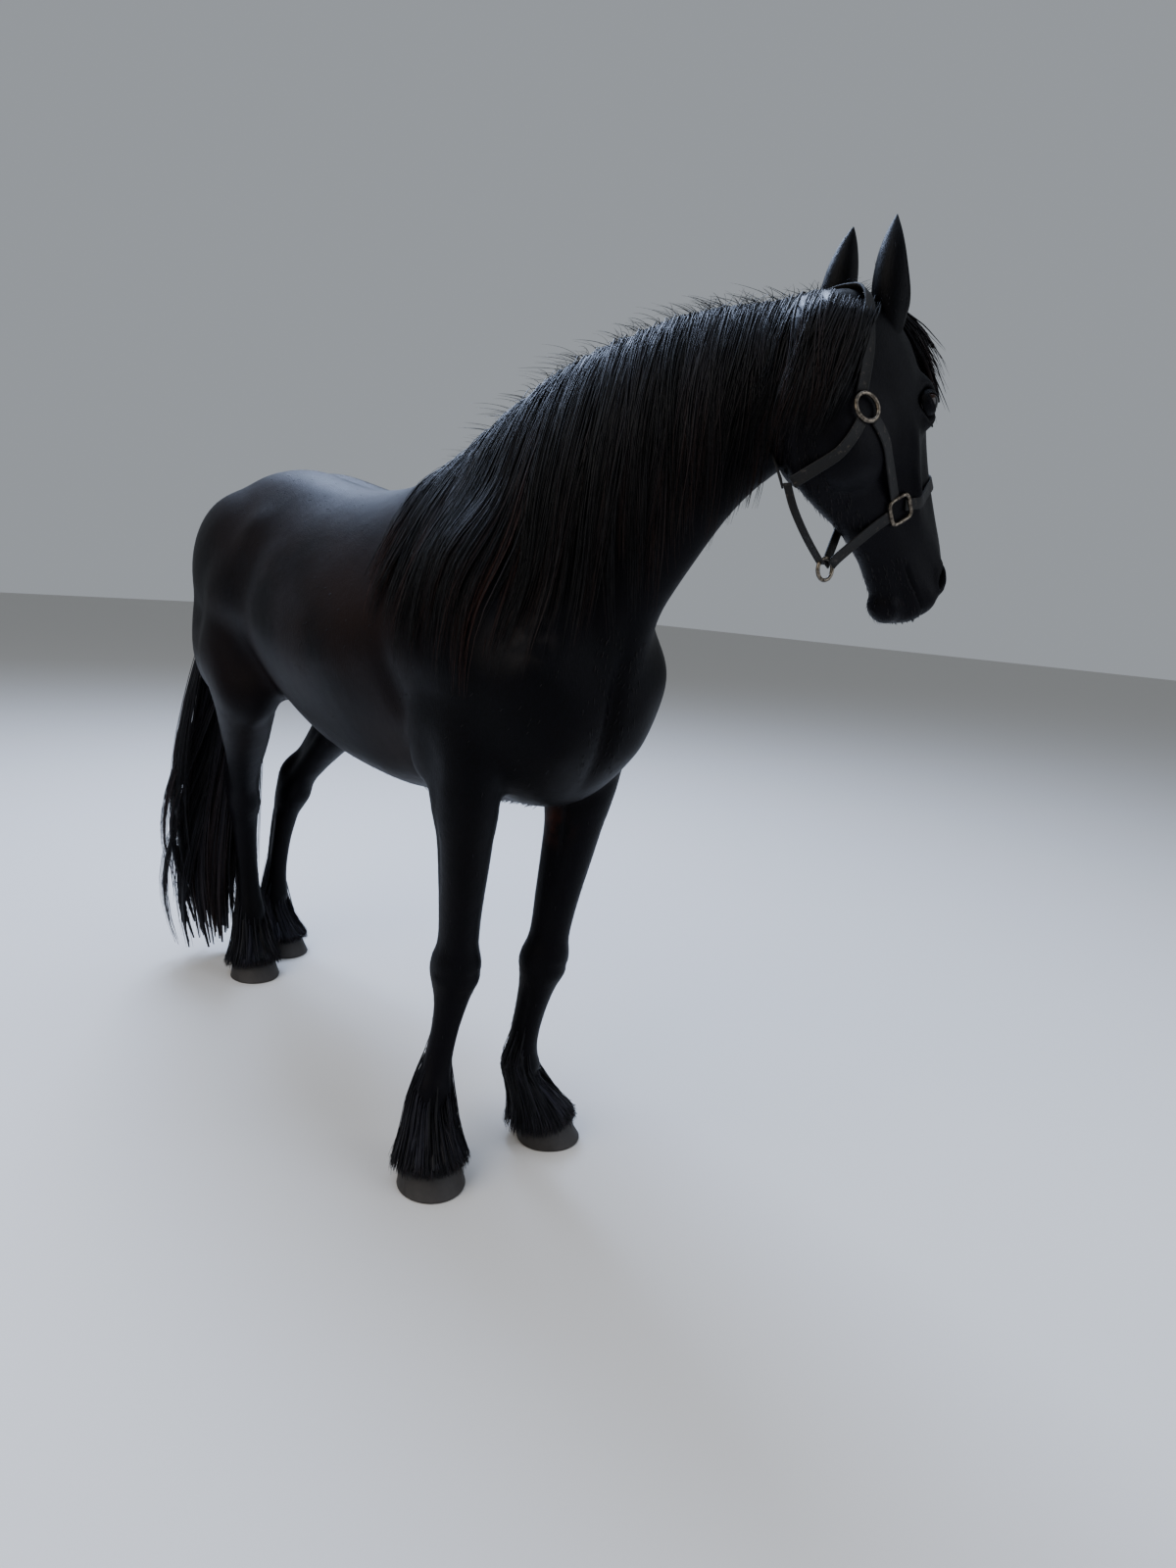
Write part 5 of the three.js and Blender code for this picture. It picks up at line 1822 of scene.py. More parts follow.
@dataclass
class Hoof:
    """One hoof with its flat sole, sloping wall and growth rings, in millimetres."""

    leg: Leg
    sides: int = 48
    profile: tuple[tuple[float, float, float, float, float], ...] = (
        (0, 0, 79, 67, 71), (1.5, 0, 82, 69.5, 75), (5, 0, 83, 70, 76), (24, -6, 75, 66, 71),
    )
    coronet_reach: Triple = (57, 54, 58)

    def build(self) -> Piece:
        """Lofts the wall from the sole to the coronet.

        Returns:
            The closed hoof.
        """
        leg = self.leg
        rings = []
        for z, shift, front, back, side in self.profile:
            centre = np.array(leg.sole) + leg.forward * shift + UP * z
            section = Section(centre, leg.forward, leg.across, front, back, side, square=1)
            rings.append(section.ring(self.sides))
        last = self.profile[-1]
        top = leg.coronet() + UP * 1.0
        for share in np.linspace(0, 1, 9)[1:]:
            foot = np.array(leg.sole) + leg.forward * last[1] + UP * last[0]
            centre = foot * (1 - share) + top * share
            up = unit(leg.forward * (1 - share) + leg.coronet_up * share)
            ripple = 0.5 * math.sin(share * 20)
            front, back, side = (low * (1 - share) + high * share + ripple
                                 for low, high in zip(last[2:], self.coronet_reach))
            section = Section(centre, up, leg.across, front, back, side, square=1)
            rings.append(section.ring(self.sides))
        piece = loft(f"hoof_{leg.foot.value}_horn", rings)
        shade_smooth(piece)
        select_only(piece)
        bpy.ops.object.shade_smooth_by_angle(angle=math.radians(40))
        return piece


@dataclass
class Eye:
    """One eyeball with its lids, in millimetres."""

    side: Side
    sizes: EyeSizes = field(default_factory=EyeSizes)
    lid_stations: int = 72
    # Half the opening along and above and below the gaze, in degrees round the eyeball.
    half_opening: float = 53.0
    upper_opening: float = 25.0
    lower_opening: float = 20.0

    @property
    def centre(self) -> Array:
        """The centre of the eyeball."""
        return HEAD_FRAME.at(self.sizes.along, self.sizes.brow, self.sizes.right * self.side.value)

    @property
    def gaze(self) -> Array:
        """The direction in which the eye looks: sideways and a little ahead."""
        along, brow, right = HEAD_FRAME.axes
        return unit(right * self.side.value + 0.28 * brow + 0.12 * along)

    def ball(self) -> Piece:
        """The eyeball with a slight rise of the cornea.

        Returns:
            The eyeball, with how far each vertex faces the gaze.
        """
        piece = ball(f"eyeball_{self.side.name.lower()}", self.centre, (self.sizes.radius,) * 3)
        places = to_horse(mesh_places(piece))
        facing = (unit(places - self.centre) @ self.gaze)
        rise = 1.6 * np.clip((facing - 0.72) / 0.28, 0, 1) ** 0.5
        set_places(piece, to_scene(places + unit(places - self.centre) * (rise - 0.4)[:, None]))
        set_attribute(piece, "facing", facing)
        shade_smooth(piece)
        return piece

    def lids(self) -> Piece:
        """Lofts the two lids as one ring of rolled sections round the opening.

        Returns:
            The closed band of both lids.
        """
        gaze = self.gaze
        slant = math.radians(self.sizes.slant)
        inner = HEAD_FRAME.axes[0] * math.cos(slant) + HEAD_FRAME.axes[1] * math.sin(slant)
        corner = unit(inner - gaze * (inner @ gaze))
        above = np.cross(gaze, corner) if self.side is Side.LEFT else np.cross(corner, gaze)
        if above @ HEAD_FRAME.axes[1] < 0:
            above = -above
        radius = self.sizes.radius
        rings = []
        for step in range(self.lid_stations):
            turn = 2 * math.pi * step / self.lid_stations
            upper = max(0.0, math.sin(turn))
            opening = self.upper_opening if upper else self.lower_opening
            high = opening * (1 - 0.25 * math.cos(turn) ** 2)
            line = (
                (1, radius + 0.6), (0, radius + 1.5), (2.5, radius + 2.6), (7, radius + 2.7),
                (10, radius + 1.9 + 0.4 * upper), (14, radius + 2.5 + 1.0 * upper),
                (22, radius + 2.2 + 1.0 * upper), (36, radius + 1.8 + 0.6 * upper),
                (52, radius + 1.0), (68, radius - 5), (50, radius - 9), (26, radius - 5),
            )
            ring = []
            for margin, reach in line:
                along_lid = (self.half_opening + margin * 0.8) * math.cos(turn)
                over_lid = (high + margin) * math.sin(turn)
                angle = math.radians(math.hypot(along_lid, over_lid))
                way = unit(corner * along_lid + above * over_lid)
                ring.append(self.centre + (gaze * math.cos(angle) + way * math.sin(angle)) * reach)
            rings.append(np.array(ring))
        return closed_band(f"lids_{self.side.name.lower()}", rings)


def closed_band(name: str, rings: Sequence[Array]) -> Piece:
    """Joins rings round a loop, the last to the first, into one closed band.

    Args:
        name: The new object's name.
        rings: Rings of equal count, in the horse's millimetres.

    Returns:
        The band with its normals outward.
    """
    count, sides = len(rings), len(rings[0])
    ids = np.arange(count * sides).reshape(count, sides)
    ahead = np.roll(ids, -1, axis=0)
    quads = [ids, np.roll(ids, -1, axis=1), np.roll(ahead, -1, axis=1), ahead]
    faces = np.stack(quads, axis=-1).reshape(-1, 4)
    mesh = bpy.data.meshes.new(name)
    mesh.from_pydata(to_scene(np.concatenate(rings)).tolist(), [], faces.tolist())
    piece = bpy.data.objects.new(name, mesh)
    bpy.context.collection.objects.link(piece)
    select_only(piece)
    bpy.ops.object.mode_set(mode="EDIT")
    bpy.ops.mesh.select_all(action="SELECT")
    bpy.ops.mesh.normals_make_consistent(inside=False)
    bpy.ops.object.mode_set(mode="OBJECT")
    apply_modifier(piece, "SUBSURF", levels=1, render_levels=1)
    shade_smooth(piece)
    return piece


@dataclass
class Halter:
    """The halter's straps and rings, in millimetres of the head's frame."""

    surface: Surface
    width: float = 22.0
    depth: float = 4.0
    wire: float = 4.0
    ring_gap: float = 6.0
    skin_gap: float = 0.3
    deepest_sink: float = 12.0
    crown_rise: float = 9.0
    pulls: int = 240
    cheek_radius: float = 24.0
    nose_radius: float = 23.0
    chin_radius: float = 20.0
    cheek_spot: tuple[float, float] = (139.0, -190.0)
    nose_spot: tuple[float, float] = (354.0, -126.0)
    chin_spot: tuple[float, float] = (388.0, -292.0)
    # The strap's section with its raised, stitched edges, in shares of its width and depth.
    shape: tuple[tuple[float, float], ...] = (
        (-0.5, -0.2), (-0.5, 0.2), (-0.46, 0.45), (-0.4, 0.5), (-0.36, 0.42),
        (0, 0.46), (0.36, 0.42), (0.4, 0.5), (0.46, 0.45), (0.5, 0.2), (0.5, -0.2),
        (0.46, -0.5), (-0.46, -0.5),
    )
    jaw_line: tuple[tuple[float, float], ...] = (
        (374, -298), (334, -310), (290, -320), (246, -326), (204, -324),
    )
    ring_steps: int = 48
    wire_steps: int = 12

    def seat(self, spot: tuple[float, float], side: Side) -> tuple[Array, Array]:
        """The skin under a spot at one side of the head; the left mirrors the right.

        Args:
            spot: The spot's along and brow.
            side: The side of the head.

        Returns:
            The place on the skin and its normal.
        """
        out = HEAD_FRAME.axes[2]
        found = self.surface.hit(HEAD_FRAME.at(spot[0], spot[1], 150), -out)
        if found is None or HEAD_FRAME.within(found[0])[2] < 20:
            found = self.surface.nearest(HEAD_FRAME.at(spot[0], spot[1], 40))[:2]
        return found if side is Side.RIGHT else self.other_side(*found)

    def other_side(self, places: Array, normals: Array) -> tuple[Array, Array]:
        """Mirrors places and normals to the left of the head, which the neck's fold hides."""
        poll = np.array(HEAD_FRAME.poll)
        return poll + HEAD_FRAME.mirrored(places - poll), HEAD_FRAME.mirrored(normals)

    def around(self, stops: Sequence[tuple[float, float]], samples: int,
               axis: float = -120.0) -> tuple[Array, Array]:
        """Lays a line on the head through stops of along and angle round its axis.

        Args:
            stops: Pairs of along and the angle from the brow, in degrees, positive to the right.
            samples: How many points the line has.
            axis: The brow value of the axis that the angles turn about.

        Returns:
            The points and their outward normals.
        """
        line = spline_rows(np.array(stops, float), samples - 1)
        places, normals = [], []
        for along, angle in line:
            way = (HEAD_FRAME.axes[1] * math.cos(math.radians(angle))
                   + HEAD_FRAME.axes[2] * math.sin(math.radians(angle)))
            found = self.surface.hit(HEAD_FRAME.at(along, axis, 0) + way * 190, -way)
            if found is not None:
                places.append(found[0])
                normals.append(way * 0.5 + found[1] * 0.5)
        return np.array(places), unit(np.array(normals))

    def strap(self, name: str, places: Array, normals: Array, width: float,
              lift: float = 3.0) -> Piece:
        """Lofts a strap with rounded edges along a line on the skin.

        Args:
            name: The new object's name.
            places: The line's points.
            normals: The outward normals at the points.
            width: The strap's width.
            lift: How far its middle lies off the line.

        Returns:
            The closed strap.
        """
        places = self.tightened(places, normals)
        for _ in range(12):
            normals[1:-1] = unit(normals[:-2] + 2 * normals[1:-1] + normals[2:])
        places = self.outside(places)
        run = unit(np.gradient(places, axis=0))
        across = unit(np.cross(run, normals))
        out = np.cross(across, run)
        rings = []
        for place, way, side in zip(places, out, across):
            rings.append(np.array([place + way * (lift + b * self.depth) + side * a * width
                                   for a, b in self.shape]))
        piece = loft(name, rings)
        shade_smooth(piece)
        return piece

    def tightened(self, places: Array, normals: Array) -> Array:
        """Pulls a line on the skin tight, so that it bridges the hollows as a strap does.

        Args:
            places: The line's points.
            normals: The outward normals at the points.

        Returns:
            The points of the tight line.
        """
        line = places.copy()
        for _ in range(self.pulls):
            middle = (line[:-2] + line[2:]) / 2
            outward = ((middle - line[1:-1]) * normals[1:-1]).sum(axis=1, keepdims=True) > 0
            line[1:-1] = np.where(outward, middle, line[1:-1])
        for _ in range(3):
            line[1:-1] = (line[:-2] + 2 * line[1:-1] + line[2:]) / 4
        return line

    def outside(self, places: Array) -> Array:
        """Moves the places that sank under the skin back onto it.

        Args:
            places: The line's points.

        Returns:
            The points, none of them just under the skin.
        """
        moved = places.copy()
        for i, place in enumerate(places):
            foot, normal, distance = self.surface.nearest(place)
            if -self.deepest_sink < distance < self.skin_gap:
                moved[i] = foot + normal * self.skin_gap
        return moved

    def ring(self, name: str, centre: Array, axis: Array, radius: float,
             square: float = 2.0) -> Piece:
        """Bends a round wire into a ring, or with a higher square value into a rounded square.

        Args:
            name: The new object's name.
            centre: The ring's centre.
            axis: The direction that it faces.
            radius: The radius to the middle of its wire.
            square: How square it is, from 2 for a circle.

        Returns:
            The closed ring.
        """
        first = unit(np.cross(axis, HEAD_FRAME.axes[0]))
        second = np.cross(axis, first)
        rings = []
        for turn in np.linspace(0, 2 * np.pi, self.ring_steps + 1)[:-1]:
            swell = abs(math.cos(turn)) ** square + abs(math.sin(turn)) ** square
            size = radius / swell ** (1 / square)
            out = first * math.cos(turn) + second * math.sin(turn)
            angles = np.linspace(0, 2 * np.pi, self.wire_steps + 1)[:-1]
            rings.append(centre + out * size + np.outer(np.cos(angles), out) * self.wire
                         + np.outer(np.sin(angles), axis) * self.wire)
        return closed_band(name, rings)

    def build(self) -> dict[str, tuple[Piece, tuple[str, ...]]]:
        """Builds every strap and ring, each with the frame's nodes that it stands for.

        Returns:
            Each object with the names of its nodes.
        """
        pieces: dict[str, tuple[Piece, tuple[str, ...]]] = {}
        spots = {}
        for side in Side:
            name = side.name.lower()
            for kind, spot, radius, square in (("cheek", self.cheek_spot, self.cheek_radius, 2.0),
                                               ("nose", self.nose_spot, self.nose_radius, 5.0)):
                place, normal = self.seat(spot, side)
                centre = place + normal * self.ring_gap
                spots[kind, side] = centre
                node = f"halter_{kind}_ring_{name}"
                ring = self.ring(f"{kind}_ring_{name}", centre, normal, radius, square)
                pieces[node] = (ring, (node,))
        chin = HEAD_FRAME.at(*self.chin_spot, 0)
        pieces["chin"] = (self.ring("chin_ring", chin, HEAD_FRAME.axes[2], self.chin_radius),
                          ("halter_chin_ring",))
        for side in Side:
            name = side.name.lower()
            runs = {
                "cheek": (self.cheek_spot, self.nose_spot),
                "throat": (self.cheek_spot, (186.0, -268.0)),
                "chin": (self.nose_spot, (364.0, -232.0)),
            }
            for run, (start, end) in runs.items():
                places, normals = self.side_line(start, end, side, 26 if run == "cheek" else 20)
                outward = HEAD_FRAME.axes[2] * side.value
                if run == "chin":
                    along, brow = self.chin_spot
                    last = HEAD_FRAME.at(along - 3, brow + 12, 4 * side.value)
                    places, normals = self.drop(places, normals, last, outward)
                if run == "throat":
                    last = HEAD_FRAME.at(204, -322, 10 * side.value)
                    face = -HEAD_FRAME.axes[1] + 0.4 * outward
                    places, normals = self.drop(places, normals, last, face)
                piece = self.strap(f"{run}_strap_{name}", places, normals, self.width)
                pieces[f"{run}_{name}"] = (piece, (f"halter_{run}_{name}",))
        right = self.spot_angle(spots["nose", Side.RIGHT])
        left = self.spot_angle(spots["nose", Side.LEFT])
        stops = [(353, right - 15), (363, 60), (369, 0), (363, -60), (353, left + 15)]
        places, normals = self.around(stops, 48)
        pieces["nose"] = (self.strap("noseband", places, normals, self.width),
                          ("halter_nose_right", "halter_nose_left"))
        right = self.spot_angle(spots["cheek", Side.RIGHT])
        stops = [(118, right + 1), (60, 107), (20, 92), (-8, 70), (-20, 38), (-23, 0)]
        places, normals = self.around(stops, 31)
        far_places, far_normals = self.other_side(places[-2::-1], normals[-2::-1])
        places = np.concatenate([places, far_places])
        normals = np.concatenate([normals, far_normals])
        rise = self.crown_rise * np.clip(np.sin(np.pi * np.linspace(0, 2.3, len(places))), 0,
                                         1) ** 0.5
        places = places + normals * rise[:, None]
        pieces["crown"] = (self.strap("crownpiece", places, normals, self.width, 3.4),
                           ("halter_crown_right", "halter_crown_left"))
        path = spline_rows(np.array([HEAD_FRAME.at(*spot, 0) for spot in self.jaw_line]), 24)
        downward = np.tile(-HEAD_FRAME.axes[1], (len(path), 1))
        jaw_strap = self.strap("jaw_strap", path, downward, self.width * 0.8, 0.0)
        pieces["jaw"] = (jaw_strap, ("halter_jaw",))
        return pieces

    def drop(self, places: Array, normals: Array, end: Array,
             face: Array) -> tuple[Array, Array]:
        """Leads a strap on from its last place to a free end, turned to a new face.

        Args:
            places: The line's points so far.
            normals: Their outward normals.
            end: The free end.
            face: The normal at the free end.

        Returns:
            The longer line and its normals.
        """
        share = np.linspace(0, 1, 9)[1:, None]
        places = np.concatenate([places, places[-1] * (1 - share) + end * share])
        turned = normals[-1] * (1 - share) + unit(face) * share
        return places, np.concatenate([normals, unit(turned)])

    def side_line(self, start: tuple[float, float], end: tuple[float, float], side: Side,
                  samples: int) -> tuple[Array, Array]:
        """Lays a straight line between two spots on one side of the head, clear of the rings.

        Args:
            start: The first spot's along and brow.
            end: The last spot's along and brow.
            side: The side of the head.
            samples: How many points the line has.

        Returns:
            The points and their outward normals.
        """
        run = np.array(end) - np.array(start)
        length = np.linalg.norm(run)
        last = 1 - (22 / length if end == self.nose_spot else 0)
        shares = np.linspace(24 / length, last, samples)
        found = [self.seat(tuple(np.array(start) + run * share), side) for share in shares]
        places = np.array([place for place, _ in found])
        normals = unit(np.array([normal for _, normal in found]) + HEAD_FRAME.axes[2] * side.value)
        return places, normals

    def spot_angle(self, place: Array, axis: float = -120.0) -> float:
        """The angle of a place round the head's axis, in degrees from the brow."""
        spot = HEAD_FRAME.within(place)
        return math.degrees(math.atan2(spot[2], spot[1] - axis))


def linear(code: str) -> tuple[float, float, float, float]:
    """Turns an sRGB hex colour into linear values."""
    channels = [int(code[i:i + 2], 16) / 255 for i in (1, 3, 5)]
    return (*(c / 12.92 if c <= 0.04045 else ((c + 0.055) / 1.055) ** 2.4 for c in channels), 1.0)


def add_node(tree: Tree, kind: str, links: dict[object, object] | None = None,
             **settings: object) -> bpy.types.Node:
    """Adds a node with its settings and links.

    Args:
        tree: The material's node tree.
        kind: The node's type.
        links: Input name or index to a value or to another node's output.
        settings: Values for the node's own properties.

    Returns:
        The new node.
    """
    node = tree.nodes.new(kind)
    for name, value in settings.items():
        setattr(node, name, value)
    for socket, value in (links or {}).items():
        if isinstance(value, Socket):
            tree.links.new(value, node.inputs[socket])
        else:
            node.inputs[socket].default_value = value
    return node


def new_material(
        name: str, **settings: object) -> tuple[bpy.types.Material, Tree, bpy.types.Node]:
    """Starts a material and sets values on its shader.

    Args:
        name: The material's name.
        settings: Values for the shader's inputs, with _ for a space.

    Returns:
        The material, its node tree and its shader.
    """
    material = bpy.data.materials.new(name)
    material.use_nodes = True
    tree = material.node_tree
    shader = tree.nodes["Principled BSDF"]
    for socket, value in settings.items():
        shader.inputs[socket.replace("_", " ")].default_value = value
    return material, tree, shader


def ramp(tree: Tree, factor: Socket,
         stops: Sequence[tuple[float, str]]) -> Socket:
    """Adds a colour ramp through the given stops.

    Args:
        tree: The material's node tree.
        factor: The value that picks the colour.
        stops: Pairs of a value and a hex colour.

    Returns:
        The picked colour.
    """
    node = add_node(tree, "ShaderNodeValToRGB", {"Fac": factor})
    elements = node.color_ramp.elements
    while len(elements) > 1:
        elements.remove(elements[-1])
    elements[0].position = stops[0][0]
    elements[0].color = linear(stops[0][1])
    for position, colour in stops[1:]:
        elements.new(position).color = linear(colour)
    return node.outputs["Color"]


def object_place(tree: Tree) -> Socket:
    """Adds the piece's own coordinates, which equal the scene's because no piece is moved."""
    return add_node(tree, "ShaderNodeTexCoord").outputs["Object"]


def noise(tree: Tree, place: Socket, scale: float, detail: float,
          roughness: float = 0.5) -> Socket:
    """Adds a noise that runs through the whole piece.

    Args:
        tree: The material's node tree.
        place: The coordinates that it follows.
        scale: How many of its swells lie in a metre.
        detail: How many finer layers it has.
        roughness: How strong the finer layers are.

    Returns:
        Its value, about 0.5 on average.
    """
    inputs = {"Vector": place, "Scale": scale, "Detail": detail, "Roughness": roughness}
    return add_node(tree, "ShaderNodeTexNoise", inputs).outputs["Fac"]


def product(tree: Tree, first: Socket,
            second: Socket) -> Socket:
    """Multiplies two values.

    Args:
        tree: The material's node tree.
        first: One value.
        second: The other value.

    Returns:
        Their product.
    """
    node = add_node(tree, "ShaderNodeMath", {0: first, 1: second}, operation="MULTIPLY")
    return node.outputs["Value"]


def mix(tree: Tree, amount: Socket, first: object,
        second: object) -> Socket:
    """Mixes two colours.

    Args:
        tree: The material's node tree.
        amount: How much of the second colour shows, from 0 to 1.
        first: A colour, or another node's colour.
        second: A colour, or another node's colour.

    Returns:
        The mixed colour.
    """
    inputs = {"Factor": amount, COLOUR_A: first, COLOUR_B: second}
    return add_node(tree, "ShaderNodeMix", inputs, data_type="RGBA").outputs[MIXED_COLOUR]


@dataclass(frozen=True)
class Tint:
    """A colour round one place of the coat, in millimetres, broken up by a grain."""

    colour: str
    place: Triple
    reach_mm: float
    grain: float

    def over(self, tree: Tree, place: Socket, base: Socket) -> Socket:
        """Mixes the tint into the coat's colour.

        Args:
            tree: The material's node tree.
            place: The coordinates that the grain follows.
            base: The coat's colour so far.

        Returns:
            The mixed colour.
        """
        middle = tuple(to_scene(np.array(self.place)))
        gap = add_node(tree, "ShaderNodeVectorMath", {0: place, 1: middle}, operation="DISTANCE")
        near = add_node(tree, "ShaderNodeMapRange", {
            "Value": gap.outputs["Value"], "From Min": 0.0, "From Max": self.reach_mm * MM,
            "To Min": 1.0, "To Max": 0.0}, interpolation_type="SMOOTHSTEP")
        grain = noise(tree, place, self.grain, 5.0)
        flecks = ramp(tree, grain, [(0.42, "#000000"), (0.66, "#ffffff")])
        amount = product(tree, near.outputs["Result"], flecks)
        return mix(tree, amount, base, linear(self.colour))


@dataclass(frozen=True)
class BlackCoat:
    """Short black summer coat, close and a little glossy, that turns brown on the barrel."""

    deep: str = "#020203"
    faded: str = "#070609"
    sheen: str = "#101019"
    roughness: float = 0.46
    specular: float = 0.055
    hair_width_mm: float = 1.6
    # Bleached brown on the barrel, dust on the breast, a scuff on the flank, brown at the elbow.
    tints: tuple[Tint, ...] = (
        Tint("#170d0a", (-450.0, -120.0, 1230.0), 1050.0, 2.6),
        Tint("#2a2624", (255.0, -205.0, 1255.0), 110.0, 26.0),
        Tint("#1b191c", (-640.0, -270.0, 1220.0), 420.0, 5.0),
        Tint("#3a1a0c", (70.0, 75.0, 800.0), 75.0, 14.0),
    )

    def build(self) -> bpy.types.Material:
        """Colours the coat by its wear and gives it the fine lie of its hair.

        Returns:
            The coat's material.
        """
        material, tree, shader = new_material("black_horse_coat", Roughness=self.roughness,
                                              Specular_IOR_Level=self.specular)
        place = object_place(tree)
        # Broad clouds of black and blue-black, as on a coat that the sun has not faded evenly.
        colour = ramp(tree, noise(tree, place, 1.7, 4.0), [(0.38, self.deep), (0.62, self.faded)])
        for tint in self.tints:
            colour = tint.over(tree, place, colour)
        # Single hairs are too fine to show, so streaks about six hairs wide stand for their lie.
        lie = add_node(tree, "ShaderNodeMapping", {"Vector": place, "Scale": (3.0, 4.5, 1.0),
                                                   "Rotation": (-0.25, 0.3, 0)}).outputs["Vector"]
        hair = noise(tree, lie, 1000 / (self.hair_width_mm * 6), 4.0, 0.62)
        tips = ramp(tree, hair, [(0.45, "#000000"), (0.75, "#808080")])
        tree.links.new(mix(tree, tips, colour, linear(self.sheen)), shader.inputs["Base Color"])
        # Soft unevenness gives the sheen of thin skin over muscle and veins.
        veins = noise(tree, place, 11.0, 3.0, 0.45)
        unevenness = add_node(tree, "ShaderNodeBump", {"Strength": 0.35, "Distance": 0.007,
                                                       "Height": veins}).outputs["Normal"]
        bump = add_node(tree, "ShaderNodeBump", {"Strength": 0.5, "Distance": 0.0016,
                                                 "Height": hair, "Normal": unevenness})
        tree.links.new(bump.outputs["Normal"], shader.inputs["Normal"])
        return material


@dataclass(frozen=True)
class LongHair:
    """Coarse black horsehair with a soft gloss, bleached reddish brown at a few of its tips."""

    root: str = "#040405"
    body: str = "#09080a"
    pale: str = "#131115"
    tip: str = "#1e110c"
    roughness: float = 0.46

    def build(self, name: str) -> bpy.types.Material:
        """Colours strands by their tone and along their length.

        Args:
            name: The material's name.

        Returns:
            The hair's material.
        """
        material, tree, shader = new_material(name, Roughness=self.roughness,
                                              Specular_IOR_Level=0.14)
        along = add_node(tree, "ShaderNodeAttribute", attribute_name="along")
        tone = add_node(tree, "ShaderNodeAttribute", attribute_name="tone")
        # Locks differ a little in depth of black, which lets the eye part one from the next.
        stops = [(0.1, self.root), (0.6, self.body), (1.0, self.pale)]
        shade = ramp(tree, tone.outputs["Fac"], stops)
        # Only the ends of the paler strands are bleached.
        reach = product(tree, along.outputs["Fac"], tone.outputs["Fac"])
        ends = ramp(tree, reach, [(0.5, "#000000"), (1.0, "#ffffff")])
        tree.links.new(mix(tree, ends, shade, linear(self.tip)), shader.inputs["Base Color"])
        return material


@dataclass(frozen=True)
class HoofHorn:
    """Dark hoof horn, ringed by its growth and dull with dust."""

    dark: str = "#131110"
    dusty: str = "#37312d"
    ring_mm: float = 7.0
    wave_scale_per_ring: float = 20.0
    dust_height_mm: float = 60.0

    def build(self) -> bpy.types.Material:
        """Rings the wall and dusts it towards the ground.

        Returns:
            The horn's material.
        """
        material, tree, shader = new_material("hoof_horn", Roughness=0.68)
        place = object_place(tree)
        # Growth rings, drawn broader than life so that they show at this size.
        rings = add_node(tree, "ShaderNodeTexWave", {
            "Vector": place, "Scale": 1000 / self.ring_mm / self.wave_scale_per_ring,
            "Distortion": 2.0, "Detail": 2.0}, bands_direction="Z")
        # Dust clings to the lowest 60 mm of the wall and thins out above them.
        height = add_node(tree, "ShaderNodeSeparateXYZ", {"Vector": place})
        dust = add_node(tree, "ShaderNodeMapRange", {
            "Value": height.outputs["Z"], "From Min": 0.0, "From Max": self.dust_height_mm * MM,
            "To Min": 0.75, "To Max": 0.1})
        amount = product(tree, dust.outputs["Result"], noise(tree, place, 90.0, 5.0))
        colour = mix(tree, amount, linear(self.dark), linear(self.dusty))
        tree.links.new(colour, shader.inputs["Base Color"])
        bump = add_node(tree, "ShaderNodeBump", {"Strength": 0.4, "Distance": 0.001,
                                                 "Height": rings.outputs["Fac"]})
        tree.links.new(bump.outputs["Normal"], shader.inputs["Normal"])
        return material


@dataclass(frozen=True)
class WetEye:
    """A dark brown horse's eye under a wet cornea, which mirrors the lights."""

    rim: str = "#0a0605"
    iris: str = "#1c0d06"
    pupil: str = "#020203"

    def build(self) -> bpy.types.Material:
        """Darkens the pupil in the middle of the iris.

        Returns:
            The eye's material.
        """
        material, tree, shader = new_material("wet_eye", Roughness=0.07, Specular_IOR_Level=0.2)
        facing = add_node(tree, "ShaderNodeAttribute", attribute_name="facing")
        # The eye reads as wet from the sharp highlight on its dark, even ball.
        stops = [(0.3, self.rim), (0.72, self.iris), (0.9, self.iris), (0.93, self.pupil)]
        colour = ramp(tree, facing.outputs["Fac"], stops)
        tree.links.new(colour, shader.inputs["Base Color"])
        return material


@dataclass(frozen=True)
class WornWebbing:
    """Dark halter webbing, rubbed pale in flecks, with a weave about 1.4 mm wide."""

    dark: str = "#070605"
    rubbed: str = "#5c5348"
    rib_mm: float = 1.4

    def build(self) -> bpy.types.Material:
        """Ribs the webbing and rubs it pale in flecks.

        Returns:
            The webbing's material.
        """
        material, tree, shader = new_material("worn_halter_webbing", Roughness=0.72,
                                              Specular_IOR_Level=0.3)
        place = object_place(tree)
        # Flecks where the pile is rubbed off make the straps look old against the coat.
        wear = noise(tree, place, 110.0, 5.0, 0.65)
        flecks = ramp(tree, wear, [(0.60, "#000000"), (0.67, "#909090")])
        colour = mix(tree, flecks, linear(self.dark), linear(self.rubbed))
        tree.links.new(colour, shader.inputs["Base Color"])
        # The real weave is finer than this size can show, so its cells are drawn coarser.
        weave = add_node(tree, "ShaderNodeTexVoronoi",
                         {"Vector": place, "Scale": 1000 / self.rib_mm})
        bump = add_node(tree, "ShaderNodeBump", {"Strength": 0.5, "Distance": 0.0006,
                                                 "Height": weave.outputs["Distance"]})
        tree.links.new(bump.outputs["Normal"], shader.inputs["Normal"])
        return material


